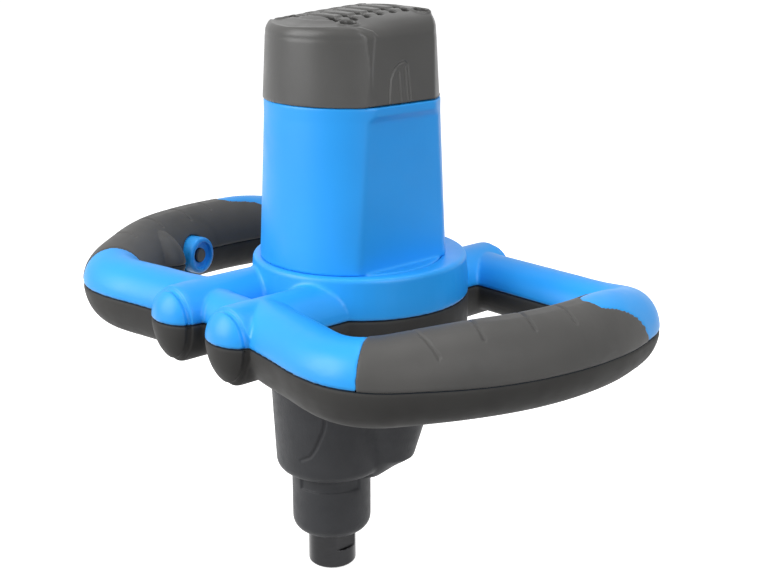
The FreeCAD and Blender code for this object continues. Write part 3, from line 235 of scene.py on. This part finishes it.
# the parting line of the shells, drawn in as a fine groove all round
def pressSeam(piece, seam):
    points = pointsOf(piece.data)
    normals = normalsOf(piece.data)
    share = eased(1.0 - np.abs(points[:, 2] - seam["z"]) / seam["width"])
    points[:, :2] -= normals[:, :2] * (seam["depth"] * share)[:, None]
    setPoints(piece.data, points)


# fewer triangles, and where inner points are given, fewer only there
def thinned(piece, most, inner=None):
    piece.data.calc_loop_triangles()
    count = len(piece.data.loop_triangles)
    if count > most:
        fewer = piece.modifiers.new("fewer", "DECIMATE")
        fewer.ratio = most / count
        if inner is not None:
            piece.vertex_groups.new(name="inner").add(np.flatnonzero(inner).tolist(), 1.0, "REPLACE")
            fewer.vertex_group = "inner"
        applyAll(piece)


# finishes, all on Object coordinates
finishLook = {"ramp": (0.3, 0.7), "range": (0.25, 0.75), "dullPatch": 6.0, "detail": 2.0,
              "lineDetail": 4.0}


def newFinish(name, metallic=0.0):
    material = bpy.data.materials.new(name)
    material.use_nodes = True
    tree = material.node_tree
    shader = tree.nodes["Principled BSDF"]
    shader.inputs["Metallic"].default_value = metallic
    coords = tree.nodes.new("ShaderNodeTexCoord")
    return material, tree, shader, coords.outputs["Object"]


def mathNode(tree, operation, *sources):
    node = tree.nodes.new("ShaderNodeMath")
    node.operation = operation
    for target, source in zip(node.inputs, sources):
        tree.links.new(source, target)
    return node


def noise(tree, place, size, detail=finishLook["detail"]):
    texture = tree.nodes.new("ShaderNodeTexNoise")
    texture.inputs["Scale"].default_value = 1.0 / size
    texture.inputs["Detail"].default_value = detail
    tree.links.new(place, texture.inputs["Vector"])
    return texture.outputs["Fac"]


def stretched(tree, place, scale):
    mapping = tree.nodes.new("ShaderNodeMapping")
    mapping.inputs["Scale"].default_value = scale
    tree.links.new(place, mapping.inputs["Vector"])
    return mapping.outputs["Vector"]


def blendColours(tree, share, low, high, target):
    ramp = tree.nodes.new("ShaderNodeValToRGB")
    for element, position, colour in zip(ramp.color_ramp.elements, finishLook["ramp"], (low, high)):
        element.position = position
        element.color = (*colour, 1.0)
    tree.links.new(share, ramp.inputs["Fac"])
    tree.links.new(ramp.outputs["Color"], target)


def spread(tree, share, low, high, target):
    reach = tree.nodes.new("ShaderNodeMapRange")
    reach.inputs["From Min"].default_value = finishLook["range"][0]
    reach.inputs["From Max"].default_value = finishLook["range"][1]
    reach.inputs["To Min"].default_value = low
    reach.inputs["To Max"].default_value = high
    tree.links.new(share, reach.inputs["Value"])
    tree.links.new(reach.outputs["Result"], target)


def bumps(tree, share, strength, depth, shader):
    bump = tree.nodes.new("ShaderNodeBump")
    bump.inputs["Strength"].default_value = strength
    bump.inputs["Distance"].default_value = depth
    tree.links.new(share, bump.inputs["Height"])
    tree.links.new(bump.outputs["Normal"], shader.inputs["Normal"])


# painted shade: the base colour darkens to a near-black line along the parting line of the shells,
# standing in for the shade in the groove
def seamShade(tree, place, seam, target):
    parts = tree.nodes.new("ShaderNodeSeparateXYZ")
    tree.links.new(place, parts.inputs["Vector"])
    offset = mathNode(tree, "SUBTRACT", parts.outputs["Z"])
    offset.inputs[1].default_value = seam["z"]
    gap = mathNode(tree, "ABSOLUTE", offset.outputs["Value"])
    unshaded = tree.nodes.new("ShaderNodeMapRange")
    unshaded.inputs["From Min"].default_value = seam["dark"]
    unshaded.inputs["From Max"].default_value = seam["unshaded"]
    tree.links.new(gap.outputs["Value"], unshaded.inputs["Value"])
    mix = tree.nodes.new("ShaderNodeMixRGB")
    mix.inputs["Color1"].default_value = (*seam["colour"], 1.0)
    tree.links.new(unshaded.outputs["Result"], mix.inputs["Fac"])
    tree.links.new(mix.outputs["Color"], target)
    return mix.inputs["Color2"]


def mouldedFinish(name, look, seam=None):
    material, tree, shader, place = newFinish(name)
    colour = shader.inputs["Base Color"]
    if seam:
        colour = seamShade(tree, place, seam, colour)
    blendColours(tree, noise(tree, place, look["patch"]), look["low"], look["high"], colour)
    dullness = noise(tree, place, look["patch"] / finishLook["dullPatch"])
    spread(tree, dullness, look["dull"][0], look["dull"][1], shader.inputs["Roughness"])
    bumps(tree, noise(tree, place, look["grain"]), look["relief"], look["depth"], shader)
    shader.inputs["Specular IOR Level"].default_value = look["gloss"]
    return material


def metalFinish(name, look):
    material, tree, shader, place = newFinish(name, look["metal"])
    lines = noise(tree, stretched(tree, place, look["stretch"]), look["grain"], finishLook["lineDetail"])
    blendColours(tree, lines, look["low"], look["high"], shader.inputs["Base Color"])
    spread(tree, lines, look["dull"][0], look["dull"][1], shader.inputs["Roughness"])
    bumps(tree, lines, look["relief"], look["depth"], shader)
    return material


mouldedLooks = {
    "blue_plastic": {"low": (0.019, 0.330, 0.860), "high": (0.024, 0.375, 0.940), "patch": 0.06,
                     "dull": (0.34, 0.44), "grain": 0.0006, "relief": 0.10, "depth": 0.0002,
                     "gloss": 0.36},
    "grey_plastic": {"low": (0.060, 0.059, 0.057), "high": (0.076, 0.075, 0.072), "patch": 0.05,
                     "dull": (0.30, 0.38), "grain": 0.0007, "relief": 0.16, "depth": 0.0002,
                     "gloss": 0.35},
    "soft_grip": {"low": (0.070, 0.069, 0.067), "high": (0.088, 0.086, 0.083), "patch": 0.04,
                  "dull": (0.44, 0.56), "grain": 0.0009, "relief": 0.25, "depth": 0.0002,
                  "gloss": 0.22},
    "dark_casting": {"low": (0.034, 0.035, 0.038), "high": (0.046, 0.047, 0.051), "patch": 0.03,
                     "dull": (0.42, 0.56), "grain": 0.0011, "relief": 0.40, "depth": 0.0003,
                     "gloss": 0.20},
    "black_rubber": {"low": (0.018, 0.018, 0.018), "high": (0.028, 0.028, 0.028), "patch": 0.02,
                     "dull": (0.65, 0.80), "grain": 0.0008, "relief": 0.20, "depth": 0.0002,
                     "gloss": 0.30},
    "black_plastic": {"low": (0.022, 0.022, 0.023), "high": (0.034, 0.034, 0.035), "patch": 0.02,
                      "dull": (0.40, 0.55), "grain": 0.0007, "relief": 0.15, "depth": 0.0002,
                      "gloss": 0.40},
    "carbon": {"low": (0.030, 0.030, 0.031), "high": (0.055, 0.055, 0.056), "patch": 0.004,
               "dull": (0.55, 0.75), "grain": 0.0004, "relief": 0.30, "depth": 0.0001,
               "gloss": 0.30},
}
metalLooks = {
    "bare_aluminium": {"low": (0.52, 0.52, 0.53), "high": (0.64, 0.64, 0.65), "metal": 1.0,
                       "dull": (0.30, 0.45), "grain": 0.003, "stretch": (1.0, 1.0, 8.0),
                       "relief": 0.10, "depth": 0.0002},
    "black_steel": {"low": (0.026, 0.026, 0.027), "high": (0.034, 0.034, 0.036), "metal": 0.85,
                    "dull": (0.17, 0.24), "grain": 0.004, "stretch": (1.0, 1.0, 9.0),
                    "relief": 0.03, "depth": 0.0001},
    "gear_steel": {"low": (0.36, 0.36, 0.38), "high": (0.46, 0.46, 0.48), "metal": 1.0,
                   "dull": (0.22, 0.38), "grain": 0.003, "stretch": (1.0, 1.0, 6.0),
                   "relief": 0.08, "depth": 0.0002},
    "bearing_steel": {"low": (0.55, 0.55, 0.57), "high": (0.64, 0.64, 0.66), "metal": 1.0,
                      "dull": (0.10, 0.18), "grain": 0.003, "stretch": (1.0, 1.0, 12.0),
                      "relief": 0.04, "depth": 0.0001},
    "lamination_steel": {"low": (0.16, 0.16, 0.17), "high": (0.26, 0.26, 0.27), "metal": 0.9,
                         "dull": (0.40, 0.55), "grain": 0.02, "stretch": (1.0, 1.0, 40.0),
                         "relief": 0.35, "depth": 0.0003},
    "copper_winding": {"low": (0.42, 0.16, 0.06), "high": (0.62, 0.27, 0.11), "metal": 0.9,
                       "dull": (0.25, 0.40), "grain": 0.012, "stretch": (1.0, 1.0, 18.0),
                       "relief": 0.50, "depth": 0.0004},
    "brass_fitting": {"low": (0.52, 0.38, 0.14), "high": (0.64, 0.48, 0.20), "metal": 1.0,
                      "dull": (0.25, 0.38), "grain": 0.003, "stretch": (8.0, 1.0, 1.0),
                      "relief": 0.08, "depth": 0.0002},
}
finishes = {slot: mouldedFinish(slot, look) for slot, look in mouldedLooks.items()}
finishes.update({slot: metalFinish(slot, look) for slot, look in metalLooks.items()})
for entry in frame["record"]["subparts"]:
    node = frame["nodes"][entry["node"]]
    node.data.materials.clear()
    node.data.materials.append(finishes[entry["material_slot"]])
print("finishes made:", len(finishes))


def finishPiece(piece, body, slot, finish, *replaced):
    piece.data.materials.clear()
    piece.data.materials.append(finishes[finish])
    selectOnly(piece)
    bpy.ops.object.shade_smooth()
    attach(piece, body)
    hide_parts(*replaced)
    print(piece.name, "done with", len(piece.data.polygons), "faces")


# parting line of the frame: a fine groove, with a painted shade line along it on the shells
seamLook = {"z": 0.164, "width": 0.0014, "depth": 0.0006, "dark": 0.00030, "unshaded": 0.00065,
            "colour": (0.006, 0.012, 0.020)}

# frame shells: the two halves of the loop-handle frame, with a ring groove on each dome
frameLook = {"voxel": 0.0008, "rounds": 4, "hollow": 0.00006, "grow": 2, "cornerRounds": 8,
             "tubeX": 0.0248, "tubeZ": 0.164, "tubeReach": 0.028, "rings": (-0.0884, 0.1054),
             "ringWidth": 0.0020, "ringDepth": 0.0015, "most": 185000}
# painted shade: the lower shell gets a darker grey than the cap's grey_plastic, standing in for the
# shade on its downward-facing sides
shadedLowerLook = {**mouldedLooks["grey_plastic"], "low": (0.042, 0.041, 0.040),
             "high": (0.054, 0.053, 0.051), "dull": (0.52, 0.64), "gloss": 0.10}
finishes["shade_darkened_grey"] = mouldedFinish("shade_darkened_grey", shadedLowerLook, seamLook)
finishes["upper_blue"] = mouldedFinish("upper_blue", mouldedLooks["blue_plastic"], seamLook)
for nodeName, slot, finish in (("upper_frame_shell", "blue_plastic", "upper_blue"),
                               ("lower_frame_shell", "grey_plastic", "shade_darkened_grey")):
    shell = nodeCopy(nodeName, nodeName.replace("_frame_shell", "FrameShell"))
    softened(shell, frameLook["voxel"], frameLook["rounds"])
    fillCorners(shell, frameLook["hollow"], frameLook["grow"], frameLook["cornerRounds"])
    pressRings(shell, frameLook)
    pressSeam(shell, seamLook)
    thinned(shell, frameLook["most"])
    finishPiece(shell, "root", slot, finish, nodeName)

# soft grips with four finger grooves each
gripLook = {"voxel": 0.0006, "rounds": 5, "width": 0.0016, "depth": 0.0008, "proud": 0.0003,
            "keepClear": 0.022, "fade": 0.004,
            "grooves": ([(0.119, -0.051), (0.128, -0.0545), (0.137, -0.0554), (0.142, -0.0553)],
                        [(0.128, -0.026), (0.136, -0.029), (0.1423, -0.0315), (0.1495, -0.034)],
                        [(0.136, 0.0), (0.144, -0.0035), (0.1513, -0.0065), (0.158, -0.0085)],
                        [(0.142, 0.0195), (0.153, 0.0172), (0.163, 0.015)])}
for nodeName, side in (("left_grip_cover", 1), ("right_grip_cover", -1)):
    grip = nodeCopy(nodeName, nodeName.split("_")[0] + "GripCover")
    softened(grip, gripLook["voxel"], gripLook["rounds"])
    points = pointsOf(grip.data)
    low, high = (np.array(corner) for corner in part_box(nodeName))
    away = np.linalg.norm(points - boxMiddle("trigger"), axis=1)
    proud = gripLook["proud"] * eased((away - gripLook["keepClear"]) / gripLook["fade"])
    points += normalsOf(grip.data) * proud[:, None]  # the overmould laps over the shell's edge
    setPoints(grip.data, np.clip(points, low, high))
    pressSeam(grip, seamLook)
    lines = [[(side * x, y) for x, y in groove] for groove in gripLook["grooves"]]
    pressGrooves(grip, lines, [0, 1], (0.0, 0.0, 1.0), gripLook["width"], gripLook["depth"])
    finishPiece(grip, "root", "soft_grip", "soft_grip", nodeName)

# gearbox casting with a panel line on its front and a recess in its neck
castingLook = {"voxel": 0.0009, "rounds": 3, "hollow": 0.00006, "grow": 3, "cornerRounds": 12,
               "neckTop": 0.060, "neckR": 0.023, "neckBand": (-0.0024, 0.0008), "leastReach": 0.001,
               "recessZ": (0.0528, 0.0592), "recessRoom": (0.006, 0.0006), "recessTurn": (-90.0, 4.0),
               "recess": 0.0011, "recessEdge": 0.0009, "liftZ": (0.040, 0.055, 0.062, 0.095),
               "lift": (0.0, 0.0035, 0.0040, 0.0), "panelFacing": (0.5, -0.8, 0.0),
               "panel": [(0.0235, -0.0231, 0.1067), (0.0224, -0.0242, 0.096), (0.0189, -0.027, 0.085),
                         (0.0157, -0.029, 0.0791), (0.0101, -0.0314, 0.076)],
               "width": 0.0018, "depth": 0.0010, "most": 150000}
casting = nodeCopy("gearbox_housing", "gearboxCasting")
softened(casting, castingLook["voxel"], castingLook["rounds"])
fillCorners(casting, castingLook["hollow"], castingLook["grow"], castingLook["cornerRounds"],
            castingLook["neckTop"])
points = pointsOf(casting.data)
points[:, 2] += np.interp(points[:, 2], castingLook["liftZ"], castingLook["lift"])  # longer neck
setPoints(casting.data, points)
pressGrooves(casting, [castingLook["panel"]], [0, 1, 2], castingLook["panelFacing"],
             castingLook["width"], castingLook["depth"])
recessLow, recessHigh = castingLook["recessZ"]


# points of the neck round its shallow recess, which is at the front towards the left hand
def neckSpots():
    points = pointsOf(casting.data)
    reach = np.hypot(points[:, 0], points[:, 1])
    within, beyond = castingLook["neckBand"]
    below, above = castingLook["recessRoom"]
    outside = (reach > castingLook["neckR"] + within) & (reach < castingLook["neckR"] + beyond)
    level = (points[:, 2] > recessLow - below) & (points[:, 2] < recessHigh + above)
    return points, np.maximum(reach, castingLook["leastReach"]), outside & level


points, reach, onNeck = neckSpots()
points[:, :2] *= np.where(onNeck, castingLook["neckR"] / reach, 1.0)[:, None]
setPoints(casting.data, points)
refine(casting, neckSpots()[2])
points, reach, onNeck = neckSpots()
turn = np.degrees(np.arctan2(points[:, 1], points[:, 0]))
turnStart, turnEnd = castingLook["recessTurn"]
inside = np.minimum(np.minimum(points[:, 2] - recessLow, recessHigh - points[:, 2]),
                    np.radians(np.minimum(turn - turnStart, turnEnd - turn)) * castingLook["neckR"])
sink = np.where(onNeck, castingLook["recess"] * eased(inside / castingLook["recessEdge"] + 0.5), 0.0)
points[:, :2] *= (1.0 - sink / reach)[:, None]
setPoints(casting.data, points)
thinned(casting, castingLook["most"])
finishPiece(casting, "root", "dark_casting", "dark_casting", "gearbox_housing")

# motor column
columnLook = {"voxel": 0.0008, "rounds": 3, "most": 180000}
column = nodeCopy("motor_housing", "motorColumn")
softened(column, columnLook["voxel"], columnLook["rounds"])
thinned(column, columnLook["most"])
finishPiece(column, "root", "blue_plastic", "blue_plastic", "motor_housing")

# top cap: its top and rear are set in behind a front shield, and each side has an arched catch
capLook = {"voxel": 0.0007, "rounds": 2, "axisY": 0.018, "step": 0.0011, "edge": 0.0007,
           "fadeFrom": 0.024, "fadeOver": 0.014, "handOver": (0.3100, 0.0030),
           "shieldTurn": (0.0, 47.0, 56.0, 64.0, 70.0),
           "shieldTop": (0.3150, 0.3162, 0.3155, 0.3135, 0.3090),
           "bandZ": (0.2750, 0.2947, 0.3092), "bandFront": (-0.0096, -0.0054, -0.0022),
           "bandRear": (-0.0041, -0.0022, 0.0010), "sideX": 0.034,
           "arch": [(0.0062, 0.2753), (0.0071, 0.2814), (0.0085, 0.2882), (0.0104, 0.2914),
                    (0.0127, 0.2940), (0.0156, 0.2958), (0.0194, 0.2969), (0.0213, 0.2953),
                    (0.0216, 0.2870), (0.0217, 0.2752)],
           "ribs": ([(0.0147, 0.2752), (0.0147, 0.2918)], [(0.0192, 0.2752), (0.0192, 0.2940)]),
           "width": 0.0009, "depth": 0.0006, "screws": ((0.026, -0.007), (0.026, 0.045)),
           "screwRoom": 0.0046, "screwFade": 0.002, "inward": -0.008, "downward": -0.5,
           "most": 185000}
cap = nodeCopy("top_cap", "topCap")
softened(cap, capLook["voxel"], capLook["rounds"])
points = pointsOf(cap.data)
turn = np.degrees(np.arctan2(np.abs(points[:, 0]), capLook["axisY"] - points[:, 1]))
shieldTop = np.interp(turn, capLook["shieldTurn"], capLook["shieldTop"])
front = np.interp(points[:, 2], capLook["bandZ"], capLook["bandFront"])
rear = np.interp(points[:, 2], capLook["bandZ"], capLook["bandRear"])
onSide = np.abs(points[:, 0]) > capLook["sideX"]
behind = np.where(onSide, eased((points[:, 1] - front) / (rear - front)),
                  (points[:, 1] > capLook["axisY"]).astype(float))
above = eased((points[:, 2] - shieldTop) / (2.0 * capLook["edge"]) + 0.5)
reach = np.hypot(points[:, 0], points[:, 1] - capLook["axisY"])
above *= eased((reach - capLook["fadeFrom"]) / capLook["fadeOver"])
behind *= 1.0 - eased((points[:, 2] - capLook["handOver"][0]) / capLook["handOver"][1])
screwGap = np.min([np.hypot(np.abs(points[:, 0]) - x, points[:, 1] - y)
                   for x, y in capLook["screws"]], axis=0)
above *= eased((screwGap - capLook["screwRoom"]) / capLook["screwFade"])
pushIn(cap, capLook["step"] * np.maximum(behind, above))
pressGrooves(cap, [capLook["arch"], *capLook["ribs"]], [1, 2], (1.0, 0.0, 0.0), capLook["width"],
             capLook["depth"])
points, normals = pointsOf(cap.data), normalsOf(cap.data)
outward = points[:, 0] * normals[:, 0] + (points[:, 1] - capLook["axisY"]) * normals[:, 1]
thinned(cap, capLook["most"], (outward < capLook["inward"]) | (normals[:, 2] < capLook["downward"]))
finishPiece(cap, "root", "grey_plastic", "grey_plastic", "top_cap")

# small turned and moulded pieces, with their edges eased
smallPieces = [
    {"node": "spindle", "piece": "spindleEnd", "body": "spindle", "slot": "black_steel",
     "finish": "black_steel", "voxel": 0.0005, "rounds": 2},
    {"node": "trigger", "piece": "triggerButton", "body": "trigger", "slot": "blue_plastic",
     "finish": "blue_plastic", "voxel": 0.0004, "rounds": 3},
    {"node": "lock_button", "piece": "lockButton", "body": "lock", "slot": "grey_plastic",
     "finish": "black_plastic", "voxel": 0.0003, "rounds": 3},
    {"node": "cord_inlet", "piece": "cordInlet", "body": "root", "slot": "black_rubber",
     "finish": "black_rubber", "voxel": 0.0003, "rounds": 3},
]
for look in smallPieces:
    small = nodeCopy(look["node"], look["piece"])
    softened(small, look["voxel"], look["rounds"])
    finishPiece(small, look["body"], look["slot"], look["finish"], look["node"])

# coil springs behind the trigger and the lock button, made at their rest length
coilLook = {"sides": 10, "steps": 28, "turns": 3}
springs = [
    {"node": "trigger_spring", "piece": "triggerSpring", "body": "root", "joint": "trigger_press",
     "wire": 0.0012},
    {"node": "lock_spring", "piece": "lockSpring", "body": "trigger", "joint": "lock_press",
     "wire": 0.0008},
]
for look in springs:
    joint = next(entry for entry in frame["joints"] if entry["name"] == look["joint"])
    press = np.array(joint["axis"]) / np.linalg.norm(joint["axis"])
    middle = boxMiddle(look["node"])
    spots = pointsOf(frame["nodes"][look["node"]].data) - middle
    along = spots @ press
    across = np.linalg.norm(spots - along[:, None] * press, axis=1).max()
    length = along.max() - along.min()
    wireR = look["wire"] / 2.0
    bpy.ops.object.select_all(action="DESELECT")
    bpy.ops.mesh.primitive_circle_add(vertices=coilLook["sides"], radius=wireR, location=(0.0, 0.0, 0.0))
    spring = bpy.context.active_object
    spring.name = look["piece"]
    editWhole(spring)
    bpy.ops.transform.rotate(value=math.pi / 2.0, orient_axis="X", center_override=(0.0, 0.0, 0.0))
    bpy.ops.transform.translate(value=(across - wireR, 0.0, along.min() + wireR))
    leaveEdit()
    coil = spring.modifiers.new("coil", "SCREW")
    coil.iterations = coilLook["turns"]
    coil.screw_offset = (length - look["wire"]) / coilLook["turns"]
    coil.steps = coilLook["steps"]
    coil.render_steps = coilLook["steps"]
    applyAll(spring)
    points = pointsOf(spring.data)
    sideways = np.array([-press[1], press[0], 0.0])
    upward = np.array([0.0, 0.0, 1.0])
    placed = points[:, [2]] * press + points[:, [0]] * sideways + points[:, [1]] * upward
    setPoints(spring.data, middle + placed)
    editWhole(spring)
    bpy.ops.mesh.fill_holes(sides=0)
    bpy.ops.mesh.select_all(action="SELECT")
    bpy.ops.mesh.normals_make_consistent(inside=False)
    leaveEdit()
    finishPiece(spring, look["body"], "gear_steel", "gear_steel", look["node"])
    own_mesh(spring)
    print(look["piece"], "rest length", round(length * 1000.0, 2), "mm")

# camera, as the photograph looks at the drill
cameraLook = {"place": (0.512, -0.4305, 0.370), "down": 0.29, "turn": 47.5, "focal": 1243.0,
              "pixels": 760.0, "sensor": 36.0, "nearest": 0.01}
cameraData = bpy.data.cameras.new("photoCamera")
cameraData.sensor_width = cameraLook["sensor"]
cameraData.lens = cameraLook["focal"] / cameraLook["pixels"] * cameraLook["sensor"]
cameraData.clip_start = cameraLook["nearest"]
camera = bpy.data.objects.new("photoCamera", cameraData)
camera.location = cameraLook["place"]
camera.rotation_euler = (math.pi / 2.0 - cameraLook["down"], 0.0, math.radians(cameraLook["turn"]))
scene.collection.objects.link(camera)
scene.camera = camera

# soft studio light
lamps = [
    {"name": "keyLamp", "place": (-0.60, -1.4, 0.95), "size": 1.3, "watts": 31.0},
    {"name": "sideLamp", "place": (1.5, -0.2, 0.9), "size": 1.0, "watts": 13.0},
    {"name": "topLamp", "place": (0.2, 0.1, 1.7), "size": 1.2, "watts": 10.0},
]
lampTarget = np.array([0.0, 0.02, 0.18])
for lamp in lamps:
    lampData = bpy.data.lights.new(lamp["name"], "AREA")
    lampData.size = lamp["size"]
    lampData.energy = lamp["watts"]
    lampObject = bpy.data.objects.new(lamp["name"], lampData)
    lampObject.location = lamp["place"]
    away = np.array(lamp["place"]) - lampTarget
    lampObject.rotation_euler = (math.acos(away[2] / np.linalg.norm(away)), 0.0,
                                 math.atan2(away[1], away[0]) + math.pi / 2.0)
    scene.collection.objects.link(lampObject)


# 1 for rays from the camera and for mirrored and refracted ones, 0 for the others
def seenRays(tree):
    rays = tree.nodes.new("ShaderNodeLightPath")
    seen = rays.outputs["Is Camera Ray"]
    for name in ("Is Glossy Ray", "Is Transmission Ray"):
        seen = mathNode(tree, "MAXIMUM", seen, rays.outputs[name]).outputs["Value"]
    return seen


# white room: the object sees a soft level, the camera and reflections see white
worldLook = {"level": 0.20, "colour": (1.0, 1.0, 1.0)}
world = bpy.data.worlds.new("studio")
scene.world = world
world.use_nodes = True
skyTree = world.node_tree
skyTree.nodes.clear()
plain = skyTree.nodes.new("ShaderNodeBackground")
plain.inputs["Strength"].default_value = worldLook["level"]
white = skyTree.nodes.new("ShaderNodeBackground")
for background in (plain, white):
    background.inputs["Color"].default_value = (*worldLook["colour"], 1.0)
mixed = skyTree.nodes.new("ShaderNodeMixShader")
output = skyTree.nodes.new("ShaderNodeOutputWorld")
skyTree.links.new(seenRays(skyTree), mixed.inputs["Fac"])
skyTree.links.new(plain.outputs["Background"], mixed.inputs[1])
skyTree.links.new(white.outputs["Background"], mixed.inputs[2])
skyTree.links.new(mixed.outputs["Shader"], output.inputs["Surface"])

# pale floor under the spindle: white to the camera, darker to light that bounces off it
floorLook = {"size": 60.0, "drop": 0.002, "colour": (0.80, 0.80, 0.80), "dull": 0.9, "glow": 0.86,
             "bounce": (0.18, 0.18, 0.18)}
bpy.ops.mesh.primitive_plane_add(size=floorLook["size"], location=(0.0, 0.0, -floorLook["drop"]))
floor = bpy.context.active_object
floor.name = "floor"
floorFinish, floorTree, floorShader = newFinish("paleFloor")[:3]
floorShader.inputs["Base Color"].default_value = (*floorLook["colour"], 1.0)
floorShader.inputs["Roughness"].default_value = floorLook["dull"]
glow = floorTree.nodes.new("ShaderNodeEmission")
glow.inputs["Strength"].default_value = floorLook["glow"]
bounce = floorTree.nodes.new("ShaderNodeBsdfDiffuse")
bounce.inputs["Color"].default_value = (*floorLook["bounce"], 1.0)
both = floorTree.nodes.new("ShaderNodeAddShader")
pick = floorTree.nodes.new("ShaderNodeMixShader")
floorTree.links.new(glow.outputs["Emission"], both.inputs[0])
floorTree.links.new(floorShader.outputs["BSDF"], both.inputs[1])
floorTree.links.new(seenRays(floorTree), pick.inputs["Fac"])
floorTree.links.new(bounce.outputs["BSDF"], pick.inputs[1])
floorTree.links.new(both.outputs["Shader"], pick.inputs[2])
floorTree.links.new(pick.outputs["Shader"], floorTree.nodes["Material Output"].inputs["Surface"])
floor.data.materials.append(floorFinish)
print("light, floor and camera set")
